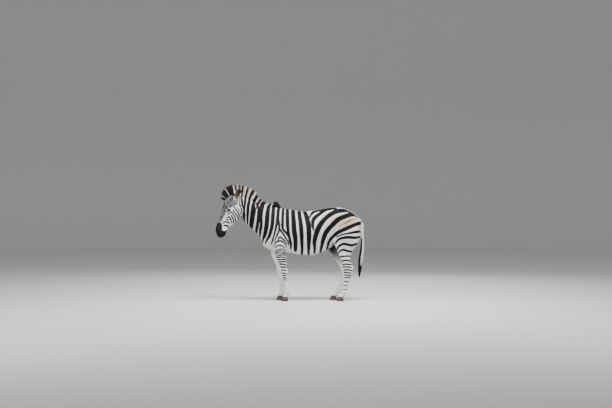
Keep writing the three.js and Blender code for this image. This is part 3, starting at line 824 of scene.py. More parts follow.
# Darker patches on the inner thigh, behind the elbow and on the throat: painted shade in these hollows under
# the body and the jaw, over skin that shows dark through thin hair. Its share, and in the animal's axes its
# centre and its spread.
DARK_SKIN_AND_PAINTED_SHADE = [
    (0.4, (690, 60, 745), (110, 52, 120)),  # inner thigh
    (0.3, (-140, 60, 700), (90, 30, 60)),  # behind the elbow
    (0.3, (-676, 50, 1170), (34, 60, 80)),  # throat
]
RADIAN = 57.3  # degrees
HALF_LANE = 6.2  # half the distance between the fine stripes of the face, mm
EAR_BANDS = [(0.09, 0.02), (0.31, 0.045), (0.79, 0.13)]  # middle and half width, as shares of the ear


def inside_stripes(points, stripes):
    """How far, in mm, each flat point lies inside the nearest of the stripes."""
    depth = np.full(len(points), NO_STRIPE)
    for curve in stripes.values():
        curve = np.array(curve, float)
        fine = between(curve, np.linspace(0, len(curve) - 1, 5 * len(curve) - 4))
        low, high = fine[:, :2].min(0) - NEARBY, fine[:, :2].max(0) + NEARBY
        near = np.flatnonzero(((points > low) & (points < high)).all(1))
        for start, end in zip(fine[:-1], fine[1:]):
            away = points[near] - start[:2]
            run = end[:2] - start[:2]
            share = np.clip(away @ run / (run @ run), 0, 1)
            gap = np.hypot(*(away - share[:, None] * run).T)
            depth[near] = np.maximum(depth[near], start[2] + (end[2] - start[2]) * share - gap)
    return depth


def flat_face(skull):
    """The head's points pushed along the line of sight on to the animal's middle plane: along, out."""
    left = from_head(skull * (1, -1, 1))
    apart = VIEW[1] / (VIEW[1] + left[:, 1])
    ahead = VIEW[0] + (left[:, 0] - VIEW[0]) * apart - POLL[0]
    up = VIEW[2] + (left[:, 2] - VIEW[2]) * apart - POLL[2]
    along = -math.cos(DROOP) * ahead - math.sin(DROOP) * up
    return np.stack([along, -math.sin(DROOP) * ahead + math.cos(DROOP) * up], 1)


def waver(points, size, seed):
    """A smooth wandering value between about -1 and 1, the same for the hide and its hair."""
    x, y, z = (points / size).T
    first = np.sin(x * 1.7 + 1.3 * np.sin(z * 1.1 + seed)) * np.cos(z * 1.9 + seed * 2.3 + y * 0.7)
    return 0.6 * first + 0.4 * np.sin(x * 3.1 + z * 2.7 + 2 * np.sin(y * 2.3 + seed))


def leg_bands(left, levels, middle, rear, crest, seed):
    """Rings round a leg, thinner and broken towards its inner side and its back."""
    x, out, z = left.T
    depth = np.full(len(left), NO_STRIPE)
    for number, level in enumerate(levels):
        tilt = 0.05 * math.sin(number * 2.4 + seed)
        rise = step(600, 740, level) * crest
        bow = 0.0022 + 0.0025 * rise
        centre = level + (x - middle) * tilt - bow * (x - middle + 16 * rise) ** 2
        centre += 2 * np.sin(x / 17 + number * 1.9 + seed)
        gap = level - levels[number + 1] if number + 1 < len(levels) else 32
        half = min(0.31 * gap, np.interp(level, (170, 300, 480), (6, 9, 12)))
        half = half - 0.25 * np.maximum(np.abs(x - middle) - 92, 0)
        half = half - 5 * step(-6, 34, x - rear) * (1 + (number % 2)) - 10 * step(-14, -46, out - 118)
        depth = np.maximum(depth, half - np.abs(z - centre))
    return depth


def widening(x, z):
    """How much wider than drawn a stripe is, mm: most on the barrel and the haunch, least on the neck."""
    barrel = step(-20, 40, x) * step(630, 540, x) * step(1060, 900, z)
    upper = 1.8 + 4.4 * step(860, 1100, z) + 7 * barrel
    return upper + (4 * step(560, 640, x) - 2.4 * step(-330, -480, x))


def body_marks(points):
    """The marks of the trunk, neck and legs: ink and brown in mm, dark and warm as shares."""
    x, y, z = points.T
    left = left_side(points)
    left_x, out, _ = left.T
    apart = VIEW[1] / (VIEW[1] - out)
    flat = np.stack([VIEW[0] + (left_x - VIEW[0]) * apart, VIEW[2] + (z - VIEW[2]) * apart], 1)
    shift = 9 * (y > 0) * np.clip((flat[:, 0] + 640) / 200, 0, 1)
    flat = flat + shift[:, None] * np.stack([waver(points, 170, 1), waver(points, 150, 4)], 1)
    ink = inside_stripes(flat, BODY_STRIPES) + widening(left_x, z)
    brown = inside_stripes(flat, BROWN_STRIPES) + 2

    fore = (left_x < 150) & (z < 752)
    hind = (left_x > 560) & (z < 655)
    for on_leg, (levels, middle, rear, crest, seeds) in ((fore, FORE_BANDS), (hind, HIND_BANDS)):
        bands = [leg_bands(left, levels, middle, rear, crest, seed) for seed in seeds]
        ink = np.maximum(ink, np.where(on_leg, np.where(y > 0, *bands), NO_STRIPE))
    inner_leg = step(118, 84, out) * (fore | (left_x > 560)) * step(900, 760, z)
    ink -= 26 * inner_leg

    spine = 10.5 - out - 3 * (waver(points, 60, 2) > 0.5)
    croup = step(560, 680, x)
    pale_lane = 4 + 8 * croup + 2 * waver(points, 90, 5) - np.abs(out - 15 - 10 * croup)
    stripe_end = 60 * step(330, 180, x) - pale_lane
    rounded = -6 * np.logaddexp(-ink / 6, -stripe_end / 6)
    on_back = (x > -150) & (x < 1040) & (z > 1120)
    ink = np.where(on_back, np.maximum(rounded, spine), ink)
    belly = 8 - out - 20 * step(430, 560, x)
    ink = np.maximum(ink, np.where((x > 0) & (z < 800) & (out < 60), belly, NO_STRIPE))
    bars = 4.5 - np.abs((z + 3 * np.sin(x / 9)) % 31 - 15.5) - 12 * step(1028, 1012, x)
    on_dock = (x > 988) & (z < 1105) & (out < 34)
    ink = np.where(on_dock, np.where(z > 860, bars, WHITE), ink)

    # Painted shade on the inner side of the upper hind legs.
    shaded_inner_thigh = step(122, 94, out) * step(430, 640, z) * step(880, 800, z)
    dark = 0.66 * shaded_inner_thigh * step(560, 610, left_x) * step(860, 800, left_x)
    for share, centre, size in DARK_SKIN_AND_PAINTED_SHADE:
        dark += share * blob(left, centre, size)
    warm = blob(left, (800, 150, 1120), (260, 200, 130)) + 0.5 * blob(left, (-500, 40, 1400), (260, 90, 80))
    return {"ink": ink, "brown": brown, "dark": dark, "warm": np.clip(warm, 0, 1)}


def mark_face(points, marks):
    """Lays the head's marks over the neck's: cheek stripes, fine lanes down the face, nose and eye rims."""
    skull, side = half_head(points)
    along, _, up = skull.T
    on_head = (step(-692, -714, points[:, 0]) * (points[:, 2] > 850)) > 0.5
    uneven = 2.5 * (waver(points, 45, 3) * (side > 0))[:, None]
    cheek = inside_stripes(flat_face(skull) + uneven, HEAD_STRIPES) + 2.5

    round_face = np.degrees(np.arctan2(skull[:, 1], up - 24))
    from_middle = round_face * np.interp(along, (20, 110, 190, 300, 420), (76, 92, 84, 62, 58)) / RADIAN
    lanes = np.interp(along, (60, 150, 330, 430), (5.4, 5.4, 5.1, 4.0))
    within = (from_middle + 0.9 * waver(points, 55, 6) + HALF_LANE) % (2 * HALF_LANE)
    lanes = lanes - np.abs(within - HALF_LANE) - 0.8 * (0.5 + waver(points, 34, 9))
    _, _, lid = eye_angles(skull - EYE_CENTRE)
    last = np.interp(along, (40, 90, 140, 190, 260, 400), (162, 146, 116, 88, 84, 70))
    last = last - 2 - 7 * waver(points, 26, 8)
    lanes = np.where(lid > 21, lanes - 6 * step(last - 20, last, round_face), -8)
    lanes = np.where(round_face > 86, np.minimum(lanes, -3 - cheek), lanes)
    head_ink = np.where(along > 436, WHITE, np.maximum(cheek, lanes))

    nose_edge = np.interp(up, (-85, -60, -29, 4, 14, 29, 56, 106), (430, 452, 470, 464, 432, 396, 376, 398))
    nose = step(-9, 13, along - nose_edge + 5 * waver(points, 30, 7)) * (points[:, 0] < -700)
    by_eye = np.linalg.norm(EYE_CENTRE - skull, axis=1) < 45
    rim = step(12, 6, lid + 1.5 * waver(points, 20, 1)) * by_eye
    # Painted blue-grey shade on the lower face behind the mouth, given as warm below 0.
    lip_shade = 0.8 * blob(skull, (428, 48, -46), (26, 40, 34)) * (1 - nose)
    tan_nose = 0.9 * blob(skull, (372, 0, 100), (50, 46, 30))
    over = {"ink": head_ink, "brown": WHITE, "dark": np.maximum(nose, rim), "warm": tan_nose - lip_shade}
    for name, values in over.items():
        marks[name] = np.where(on_head, values, marks[name])


def mark_ears(points, marks):
    """A dark hollow, and a white back with a black band and tip."""
    for local, _ in in_ears(points):
        ahead, across, at = local[:, 0], np.abs(local[:, 1]), local[:, 2] / EAR_LENGTH
        half, front, back = ear_section(at)
        on_ear = (at > 0.04) & (across < half + 6) & (ahead > -back - 6) & (ahead < front + 9)
        reach = np.where(ahead < 0, back, 60) - 2.2
        cup = on_ear & ((across / (half - 2.2)) ** 2 + (ahead / reach) ** 2 < 1) & (at > 0.1)
        bands = np.max([wide - np.abs(at - middle) for middle, wide in EAR_BANDS], axis=0)
        ear_ink = bands * EAR_LENGTH + 2.5 * waver(points, 18, 5)
        hollow = 0.84 + 0.12 * step(0.3, 0.75, at)
        over = {
            "ink": np.where(cup, WHITE, ear_ink),
            "dark": np.where(cup, hollow, 0.5 * step(0.93, 1, at)),
            "warm": np.where(cup, 1.0, 0),
        }
        for name, values in over.items():
            marks[name] = np.where(on_ear, values, marks[name])


def markings(points):
    """Every mark at these places, the same for the hide and for hair that is rooted there."""
    marks = body_marks(points)
    mark_face(points, marks)
    mark_ears(points, marks)
    marks["dark"] = np.clip(marks["dark"], 0, 1)
    marks["warm"] = np.clip(marks["warm"], -1, 1)
    return marks


def store_markings(mesh, marks, repeat=1):
    """Each mark as an attribute, where a value may stand for several vertices in a row."""
    for name, values in marks.items():
        values = values.ravel() if values.ndim == 2 else np.repeat(values, repeat)
        mesh.attributes.new(name, "FLOAT", "POINT").data.foreach_set("value", values.astype(np.float32))


def triangles(mesh):
    return sum(len(face.vertices) - 2 for face in mesh.polygons)


def wanted_edge(points, ink):
    """How long the hide's triangles may grow, mm: short on the face, the legs and the stripes' edges."""
    z = points[:, 2]
    by_stripe = step(4, 16, np.abs(ink))
    long = 6.8 + 9 * by_stripe
    legs = step(790, 730, z)
    long = long * (1 - legs) + (5.0 + 3.5 * by_stripe) * legs
    head = step(-90, -30, to_head(points)[:, 0]) * (points[:, 0] < -640) * (z > 850)
    long = long * (1 - head) + 4.0 * head
    for local, _ in in_ears(points):
        long[blob(local, (0, 0, 95), (70, 80, 150)) > 0.37] = 5
    return long


EDGE_LEVELS = np.array([3.8, 4.3, 5.0, 6.0, 6.8, 8.0, 10.0, 12.5, 15.8])
SKIN_FINE, SKIN_QUICK = 169000, 70000  # triangles
surface = points_of(skin.data) * 1000
long = wanted_edge(surface, markings(surface)["ink"])
level = np.abs(long[:, None] - EDGE_LEVELS).argmin(1)
group = skin.vertex_groups.new(name="looseness")
for number, length in enumerate(EDGE_LEVELS):
    group.add(np.flatnonzero(level == number).tolist(), 1 - 2.5 / length, "REPLACE")
fewer = skin.modifiers.new("fewer", "DECIMATE")
fewer.ratio = SKIN_FINE / triangles(skin.data)
fewer.vertex_group = "looseness"
fewer.vertex_group_factor = 100
finished(skin)
skin.vertex_groups.clear()

bm = bmesh.new()
bm.from_mesh(skin.data)
for spread in (1.0, 0.66):
    place = np.array([vert.co[:] for vert in bm.verts]) * 1000
    skull, _ = half_head(place)
    close = np.zeros(len(skull), bool)
    for centre, size, times in FINE_PATCHES:
        if times == 2 or spread == 1.0:
            close |= (((skull - centre) / (np.array(size) * spread)) ** 2).sum(1) < 1
    close &= place[:, 0] < HEAD_ENDS
    bm.verts.index_update()
    cuts = [edge for edge in bm.edges if close[edge.verts[0].index] and close[edge.verts[1].index]]
    bmesh.ops.subdivide_edges(bm, edges=cuts, cuts=1, use_grid_fill=True)
bmesh.ops.triangulate(bm, faces=[face for face in bm.faces if len(face.verts) > 4])
bm.to_mesh(skin.data)
bm.free()

hide = Surface(skin.data)
skull, _ = half_head(hide.points)
seam = np.zeros(len(skull))
fine = np.zeros(len(skull))
for centre, size, times in FINE_PATCHES:
    fine = np.maximum(fine, np.clip(1.6 * blob(skull, centre, size), 0, 1) * (hide.points[:, 0] < HEAD_ENDS))
for local, _ in in_ears(hide.points):
    seam = np.maximum(seam, blob(local, (0, 0, 18), (46, 46, 22)))
hide.smooth(8, 0.6 * np.clip(seam * 1.8, 0, 1), keep_volume=False)
hide.smooth(3, 0.5 * fine, keep_volume=False)
out = hide.normals()
skull, _ = half_head(hide.points)
on_muzzle = (skull[:, 0] > 420) & (hide.points[:, 0] < FACE_ENDS)
hide.points += out * np.where(on_muzzle, muzzle_push(skull), 0)[:, None]
skull, side = half_head(hide.points)
lidded = np.where((hide.points[:, 0] < FACE_ENDS)[:, None], shape_lids(skull), skull)
lidded[:, 1] *= side
hide.points = from_head(lidded)
hide.smooth(1, 0.35 * fine, keep_volume=False)
hide.store()
smooth_shaded(skin.data)

# Colours of hair and hide: stripes of blue-black on cream white, brown shadow stripes, and bare dark skin
# at the nose and round the eyes. Painted shade darkens the inner thighs, the throat and behind the elbows,
# and painted blue-grey shade lies on the white under the lips and on the pale tail locks. One group of nodes
# mixes them from the marks, with ragged edges of hair.
MARKS = ("Ink", "Brown", "Dark", "Warm", "Faded")
COOL_WHITE, WARM_WHITE = (0.69, 0.695, 0.725, 1), (0.79, 0.775, 0.74, 1)
# Cream, a painted blue-grey shade of the white, and dusty white specks.
CREAM, PAINTED_BLUE_SHADE, DUSTY_WHITE = (0.62, 0.50, 0.38, 1), (0.50, 0.55, 0.64, 1), (0.62, 0.59, 0.55, 1)
SHADOW_BROWN = (0.10, 0.045, 0.025, 1)
BLUE_BLACK, PLAIN_BLACK = (0.005, 0.006, 0.010, 1), (0.009, 0.009, 0.011, 1)
# Bare dark skin, and painted shade in the hollows, in darker and lighter specks.
BARE_SKIN_AND_SHADE_DARK, BARE_SKIN_AND_SHADE_LIGHT = (0.007, 0.007, 0.009, 1), (0.017, 0.014, 0.014, 1)
SUN_FADED = (0.040, 0.026, 0.020, 1)


def add_node(tree, kind, feeds, **settings):
    """A shader node. Each feed is a plain value for a socket or the output that is linked to it."""
    node = tree.nodes.new("ShaderNode" + kind)
    for name, value in settings.items():
        setattr(node, name, value)
    for socket, value in feeds.items():
        if isinstance(value, bpy.types.NodeSocket):
            tree.links.new(value, node.inputs[socket])
        else:
            node.inputs[socket].default_value = value
    return node


def zebra_colours():
    """The group that turns the marks at a place into its colour and roughness."""
    group = bpy.data.node_groups.new("zebra colours", "ShaderNodeTree")
    for name in MARKS:
        group.interface.new_socket(name, in_out="INPUT", socket_type="NodeSocketFloat")
    group.interface.new_socket("Position", in_out="INPUT", socket_type="NodeSocketVector")
    group.interface.new_socket("Color", in_out="OUTPUT", socket_type="NodeSocketColor")
    group.interface.new_socket("Roughness", in_out="OUTPUT", socket_type="NodeSocketFloat")
    mark = group.nodes.new("NodeGroupInput").outputs
    result = group.nodes.new("NodeGroupOutput").inputs

    def noise(scale, detail):
        feeds = {"Vector": mark["Position"], "Scale": scale, "Detail": detail}
        return add_node(group, "TexNoise", feeds).outputs["Fac"]

    def edge(value, low, high):
        feeds = {"Value": value, "From Min": low, "From Max": high}
        return add_node(group, "MapRange", feeds, interpolation_type="SMOOTHSTEP").outputs["Result"]

    def mixed(share, first, second):
        feeds = {"Factor": share, "A": first, "B": second}
        return add_node(group, "Mix", feeds, data_type="RGBA").outputs["Result"]

    def scaled(value, by, plus):
        return add_node(group, "Math", {0: value, 1: by, 2: plus}, operation="MULTIPLY_ADD").outputs[0]

    def added(first, second):
        return add_node(group, "Math", {0: first, 1: second}, operation="ADD").outputs[0]

    ragged = scaled(noise(210, 3), 4.0, -2.0)
    cloud = edge(noise(5, 2), 0.3, 0.7)
    speck = noise(60, 4)
    white = mixed(cloud, COOL_WHITE, WARM_WHITE)
    white = mixed(edge(mark["Warm"], 0, 1), white, CREAM)
    # Warm below 0 paints blue-grey shade over the white.
    white = mixed(edge(mark["Warm"], 0, -1), white, PAINTED_BLUE_SHADE)
    white = mixed(edge(speck, 0.35, 1.4), white, DUSTY_WHITE)
    white = mixed(edge(added(mark["Brown"], ragged), -4, 4), white, SHADOW_BROWN)
    black = mixed(cloud, BLUE_BLACK, PLAIN_BLACK)
    colour = mixed(edge(added(mark["Ink"], ragged), -1.6, 1.6), white, black)
    # The dark mark: bare skin at the nose and round the eyes, and painted shade in the hollows.
    colour = mixed(mark["Dark"], colour, mixed(edge(speck, 0.3, 0.8), BARE_SKIN_AND_SHADE_DARK, BARE_SKIN_AND_SHADE_LIGHT))
    colour = mixed(mark["Faded"], colour, SUN_FADED)
    group.links.new(colour, result["Color"])
    group.links.new(scaled(speck, 0.25, 0.42), result["Roughness"])
    return group


ZEBRA_COLOURS = zebra_colours()


def zebra_finish(name, relief=0.0):
    """The finish of the hair, or with some relief, of the hide."""
    material, tree, shader = finish(name, {"Specular IOR Level": 0.08})
    place = add_node(tree, "TexCoord", {}).outputs["Object"]
    feeds = {"Position": place}
    for mark in MARKS:
        feeds[mark] = add_node(tree, "Attribute", {}, attribute_name=mark.lower()).outputs["Fac"]
    colours = add_node(tree, "Group", feeds, node_tree=ZEBRA_COLOURS).outputs
    tree.links.new(colours["Color"], shader.inputs["Base Color"])
    tree.links.new(colours["Roughness"], shader.inputs["Roughness"])
    if relief:
        along_hair = add_node(tree, "Mapping", {"Vector": place, "Scale": (60, 420, 240)}).outputs["Vector"]
        streaks = add_node(tree, "TexNoise", {"Vector": along_hair, "Scale": 1, "Detail": 3}).outputs["Fac"]
        bump = add_node(tree, "Bump", {"Height": streaks, "Strength": relief, "Distance": 0.0012})
        tree.links.new(bump.outputs["Normal"], shader.inputs["Normal"])
    return material


def fitted(piece, material, slot, *nodes):
    """Gives a piece its material, and says what it rides on and which nodes it replaces. Its slot is not
    used.
    """
    piece.data.materials.append(material)
    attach(piece, "root")
    if nodes:
        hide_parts(*nodes)


store_markings(skin.data, markings(hide.points))
skin.data.materials.clear()
limbs = [part + side for part in ("foreleg_", "hindleg_", "ear_") for side in ("left", "right")]
fitted(skin, zebra_finish("zebra hide", relief=0.5), "coat", "head", "neck", "trunk", *limbs, "tail_dock")

# Hair. Every tuft and lock is a closed form of its own with its root in the hide, and all those of one
# piece are joined. Its colour comes from the marks at its root, and its map is a small patch there too.
bpy.context.view_layer.objects.active = skin
skin.select_set(True)
skin.data.uv_layers.new(name="OFBake")
bpy.ops.object.mode_set(mode="EDIT")
bpy.ops.mesh.select_all(action="SELECT")
bpy.ops.uv.smart_project(angle_limit=math.radians(70), island_margin=0.001)
bpy.ops.object.mode_set(mode="OBJECT")
skin.select_set(False)

skin.data.calc_loop_triangles()


def of_triangles(kind):
    """The vertices, or the loops, of the hide's triangles."""
    found = np.empty(len(skin.data.loop_triangles) * 3, int)
    skin.data.loop_triangles.foreach_get(kind, found)
    return found.reshape(-1, 3)


hide_corners = of_triangles("vertices")
hide_map = np.empty(len(skin.data.loops) * 2)
skin.data.uv_layers["OFBake"].data.foreach_get("uv", hide_map)
hide_map = hide_map.reshape(-1, 2)[of_triangles("loops")]
hide_normals = hide.normals()
hide_points = hide.points
sides = hide_points[hide_corners]
hide_areas = np.linalg.norm(np.cross(sides[:, 1] - sides[:, 0], sides[:, 2] - sides[:, 0]), axis=1) / 2
vertex_map = np.zeros((len(hide_points), 2))
vertex_map[hide_corners.ravel()] = hide_map.reshape(-1, 2)


PATCH_RADIUS = 0.0015  # of a tuft's patch on the hide's map
HAIR = zebra_finish("zebra coat")


def roots_on_hide(count, chance, rng):
    """Points spread over the hide, more where the chance is higher: place, outward way, place on its map."""
    weight = hide_areas * chance(sides.mean(1))
    chosen = rng.choice(len(hide_corners), count, p=weight / weight.sum())
    split = np.sqrt(rng.random(count))
    other = rng.random(count)
    share = np.stack([1 - split, split * (1 - other), split * other], 1)
    place = (sides[chosen] * share[..., None]).sum(1)
    out = unit((hide_normals[hide_corners[chosen]] * share[..., None]).sum(1))
    return place, out, (hide_map[chosen] * share[..., None]).sum(1)


def ring_turns():
    """The three corners of a lock's ring, in radians."""
    return np.radians(90 + 120 * np.arange(3))


def hair_mesh(name, rings, tips, spots, marks, slot, *nodes):
    """A closed, three-sided lock for each row of rings, ending in a point, all joined in one piece."""
    count, levels = rings.shape[:2]
    points = np.concatenate([rings.reshape(count, -1, 3), tips[:, None]], 1)
    pattern = [(0, 2, 1)]
    for low in range(0, 3 * levels - 3, 3):
        pattern += [(low + j, low + (j + 1) % 3, low + 3 + (j + 1) % 3, low + 3 + j) for j in range(3)]
    last = 3 * levels - 3
    pattern += [(last + j, last + (j + 1) % 3, last + 3) for j in range(3)]
    each = points.shape[1]
    corners = (np.concatenate(pattern)[None] + each * np.arange(count)[:, None]).ravel()
    sizes = np.tile([len(face) for face in pattern], count)
    mesh = bpy.data.meshes.new(name)
    mesh.vertices.add(count * each)
    mesh.vertices.foreach_set("co", (points * 0.001).ravel())
    mesh.loops.add(len(corners))
    mesh.loops.foreach_set("vertex_index", corners)
    mesh.polygons.add(len(sizes))
    mesh.polygons.foreach_set("loop_start", np.concatenate([[0], np.cumsum(sizes)[:-1]]))
    smooth_shaded(mesh)
    mesh.update(calc_edges=True)
    turn = ring_turns()
    shrink = PATCH_RADIUS * (1 - np.arange(levels) / (levels + 0.5))
    patch = np.stack([np.outer(shrink, np.cos(turn)).ravel(), np.outer(shrink, np.sin(turn)).ravel()], 1)
    patch = spots[:, None] + np.concatenate([patch, [[0, 0]]])
    layer = mesh.uv_layers.new(name="OFBake")
    layer.data.foreach_set("uv", patch.reshape(-1, 2)[corners].ravel())
    store_markings(mesh, marks, each)
    fitted(placed(name, mesh), HAIR, slot, *nodes)


EAR_REACH = (0, 0, 95), (60, 70, 120)  # centre and spread of an ear, in its own axes


def tangent_way(way, out):
    return unit(way - out * (way * out).sum(1, keepdims=True))


def ring_round(centre, side, up, wide, thick):
    """The ring of each lock at its centre, so wide to its side and so thick upwards."""
    turn = ring_turns()
    flat = centre[:, None] + (side * wide[:, None])[:, None] * np.cos(turn)[None, :, None]
    return flat + (up * thick[:, None])[:, None] * np.sin(turn)[None, :, None]


def behind_jaw(points):
    """x along lines that slope as the edge between the head and the neck does."""
    return points[:, 0] - 0.25 * (points[:, 2] - 1330)


def coat_way(points):
    """The way the hair lies: back along the trunk, down the neck, rump and legs, and down the face."""
    left = left_side(points)
    way = np.tile([1.0, 0, -0.45], (len(points), 1))
    leg = step(800, 700, left[:, 2])[:, None]
    rump = step(820, 960, left[:, 0])[:, None]
    neck = step(-230, -480, left[:, 0])[:, None]
    way = way * (1 - neck) + np.array([0.75, 0, -0.85]) * neck
    way = way * (1 - rump) + np.array([0.25, 0, -1.1]) * rump
    way = way * (1 - leg) + np.array([0.12, 0, -1.0]) * leg
    skull = to_head(points)
    face = (step(20, 60, skull[:, 0]) * step(-690, -740, behind_jaw(points)))[:, None]
    aside = 0.5 * np.tanh(skull[:, 1] / 30)
    down = -0.45 * np.abs(np.tanh(skull[:, 1] / 60))
    down_face = from_head(np.stack([np.full(len(skull), 1.0), aside, down], 1)) - POLL
    way = way * (1 - face) + down_face * face
    for local, axes in in_ears(points):
        on_ear = (step(6, 26, local[:, 2]) * (blob(local, *EAR_REACH) > 0.3))[:, None]
        way = way * (1 - on_ear) + axes[:, 2] * on_ear
    return way


def coat_length(points):
    """How long the hair is, mm: shortest on the face and the feet."""
    left = left_side(points)
    long = 13 + 5 * step(800, 690, left[:, 2]) * (left[:, 1] < 120)
    legs = step(740, 640, left[:, 2])
    long = long * (1 - legs) + np.interp(left[:, 2], (60, 74, 200, 640), (11, 6, 6.5, 9.5)) * legs
    back_of_foot = blob(left, (2, 116, 118), (16, 30, 26)) + blob(left, (794, 114, 118), (16, 30, 26))
    long = long + 9 * back_of_foot
    skull = to_head(points)
    face = step(-680, -760, behind_jaw(points))
    short = np.interp(skull[:, 0], (40, 150, 380, 440, 560), (9, 6.5, 6, 3.6, 3))
    return long * (1 - face) + short * face


# Coat. Short flat hair covers the whole animal in overlapping tufts that follow its lie, smallest on the
# face and feet. It is laid in one sheet for each part of the body.
COAT_SHEETS = {  # tufts, width and thickness in mm
    "coat_left": (46000, 1.5, 0.55),
    "coat_right": (46000, 1.5, 0.55),
    "coat_neck": (34000, 1.4, 0.5),
    "coat_legs": (38000, 1.1, 0.42),
    "coat_head": (46000, 0.85, 0.32),
}


def sheet_chance(name):
    """Where the tufts of one sheet may stand: on its own part of the body, never on another's."""

    def chance(points):
        z = points[:, 2]
        left = left_side(points)
        skull, _ = half_head(points)
        head = (skull[:, 0] > -20) & (behind_jaw(points) < FACE_ENDS) & (z > 850)
        for local, _ in in_ears(points):
            head |= (local[:, 2] > -6) & (blob(local, *EAR_REACH) > 0.3)
        beside_trunk = (left[:, 1] > 70) & ((left[:, 0] < 40) | (left[:, 0] > 560))
        legs = (z < 700) & ((z < 640) | beside_trunk) & ~head
        neck = (points[:, 0] < -240) & ~legs & ~head
        if name == "coat_head":
            _, _, lid = eye_angles(skull - EYE_CENTRE)
            bare = (lid < 4.5) & (np.linalg.norm(skull - EYE_CENTRE, axis=1) < 40)
            bare |= blob(skull, NOSTRIL["centre"], (18, 14, 18)) > 0.5
            return head * (~bare) * (1 + 0.4 * step(420, 480, skull[:, 0]))
        if name == "coat_legs":
            return legs * (1 + 0.9 * step(420, 200, z) + 4 * (z < 68)) * (z > 56)
        if name == "coat_neck":
            return neck * 1.0
        trunk = ~head & ~legs & ~neck
        return trunk * (points[:, 1] < 0 if name == "coat_left" else points[:, 1] >= 0)

    return chance


for number, (name, (count, wide, thick)) in enumerate(COAT_SHEETS.items()):
    rng = np.random.default_rng(40 + number)
    count = count
    place, out, spots = roots_on_hide(count, sheet_chance(name), rng)
    way = tangent_way(coat_way(place) + 0.13 * rng.normal(size=(count, 3)), out)
    long = coat_length(place) * rng.uniform(0.75, 1.15, count)
    size = rng.uniform(0.75, 1.25, count)
    base = ring_round(place - out * 0.5, np.cross(out, way), out, wide * size, thick * size * 1.6)
    lift = 0.055 * long + rng.uniform(0.2, 0.9, count) * thick * 1.6
    tips = place + way * long[:, None] + out * lift[:, None]
    hair_mesh(name, base[:, None], tips, spots, {**markings(place), "faded": np.zeros(count)}, "coat")

# Longer hair: pale locks that fill the ears and hang over the hooves, lashes on the upper lids, and a few
# stiff whiskers on the muzzle. They stand out from the coat, each kind in its own piece.
rng = np.random.default_rng(23)


def spare_hair(name, count, chance, ways, long, wide, marks):
    """Short loose locks where the chance says, lying the ways given, all with the same marks."""
    place, out, spots = roots_on_hide(count, chance, rng)
    way = unit(ways(place, out) + 0.16 * rng.normal(size=(count, 3)))
    across = unit(np.cross(out, way))
    size = wide * rng.uniform(0.7, 1.2, count)
    base = ring_round(place - out * 0.8, across, unit(np.cross(way, across)), size, size * 0.6)
    tips = place + way * (long * rng.uniform(0.6, 1.1, count))[:, None]
    marks = {mark.lower(): np.full(count, float(value)) for mark, value in zip(MARKS, marks)}
    hair_mesh(name, base[:, None], tips, spots, marks, "long_hair")


def ear_hair_chance(points):
    """Inside an ear, most along its rims and at its foot."""
    inside = np.zeros(len(points))
    for local, _ in in_ears(points):
        ahead, across, at = np.abs(local[:, 0]), np.abs(local[:, 1]), local[:, 2] / EAR_LENGTH
        half = np.interp(at, np.array(EAR_ROWS)[:, 0], np.array(EAR_ROWS)[:, 1])
        rim = step(0.45, 0.8, across / half) + 0.4 * step(0.5, 0.15, at)
        cup = (at > 0.08) & (at < 0.97) & (across < half) & (ahead < 24)
        inside = np.maximum(inside, cup * rim)
    return inside


def ear_hair_ways(points, out):
    """Up the ear and inwards from its rims."""
    ways = np.zeros((len(points), 3))
    for local, axes in in_ears(points):
        inward = -np.tanh(local[:, 1] / 20)
        up = np.stack([np.full(len(points), 0.25), 0.55 * inward, np.full(len(points), 1.0)], 1) @ axes.T
        ways = np.where(np.abs(local[:, 1:2]) < 60, up, ways)
    return ways


def lash_chance(points):
    """The edge of the upper lid."""
    skull, _ = half_head(points)
    ahead, above, lid = eye_angles(skull - EYE_CENTRE)
    near = np.linalg.norm(skull - EYE_CENTRE, axis=1) < EYE_RADIUS + 14
    return near * (lid > 0.5) * (lid < 4.5) * (above > 12) * (np.abs(ahead) < 60)


def lash_ways(points, out):
    down_face = from_head(np.array([[1.0, 0, 0]])) - from_head(np.zeros((1, 3)))
    return out + 0.45 * down_face


def coronet_chance(points):
    """The ring of hair above each hoof."""
    return (points[:, 2] < 75) * (points[:, 2] > 62)


def whisker_chance(points):
    """The lips and the chin."""
    skull = to_head(points)
    return (skull[:, 0] > 470) * (points[:, 0] < -850) * (skull[:, 2] < 30) * (1 + 2 * (skull[:, 2] < -20))


def hanging(points, out):
    return 0.42 * out - (0, 0, 1)


def standing_out(points, out):
    return out + (0, 0, -0.25)


# Count, where, which way, length and width in mm, and the marks in the order of MARKS.
spare_hair("ear_hair", 1300, ear_hair_chance, ear_hair_ways, 17, 0.6, (WHITE, WHITE, 0.1, 0.45, 0.12))
spare_hair("coronet_hair", 2600, coronet_chance, hanging, 15, 0.75, (WHITE, WHITE, 0, 0.3, 0))
spare_hair("lashes", 420, lash_chance, lash_ways, 15, 0.42, (BLACK, WHITE, 0, 0, 0))
spare_hair("whiskers", 260, whisker_chance, standing_out, 22, 0.28, (BLACK, WHITE, 0, 0, 0.3))

# Eyes. Dark brown globes with a clear bulge at the front and a level, oblong pupil. Each sits in its
# socket in the hide, behind the lids.
CORNEA_BULGE = 1.6
PUPIL_LONG, PUPIL_HIGH = 17, 9.5  # half sizes, degrees
EYE_BLACK = (0.003, 0.003, 0.004, 1)
IRIS_RAMP = [(0.36, (0.010, 0.006, 0.004, 1)), (0.52, (0.030, 0.020, 0.015, 1))]


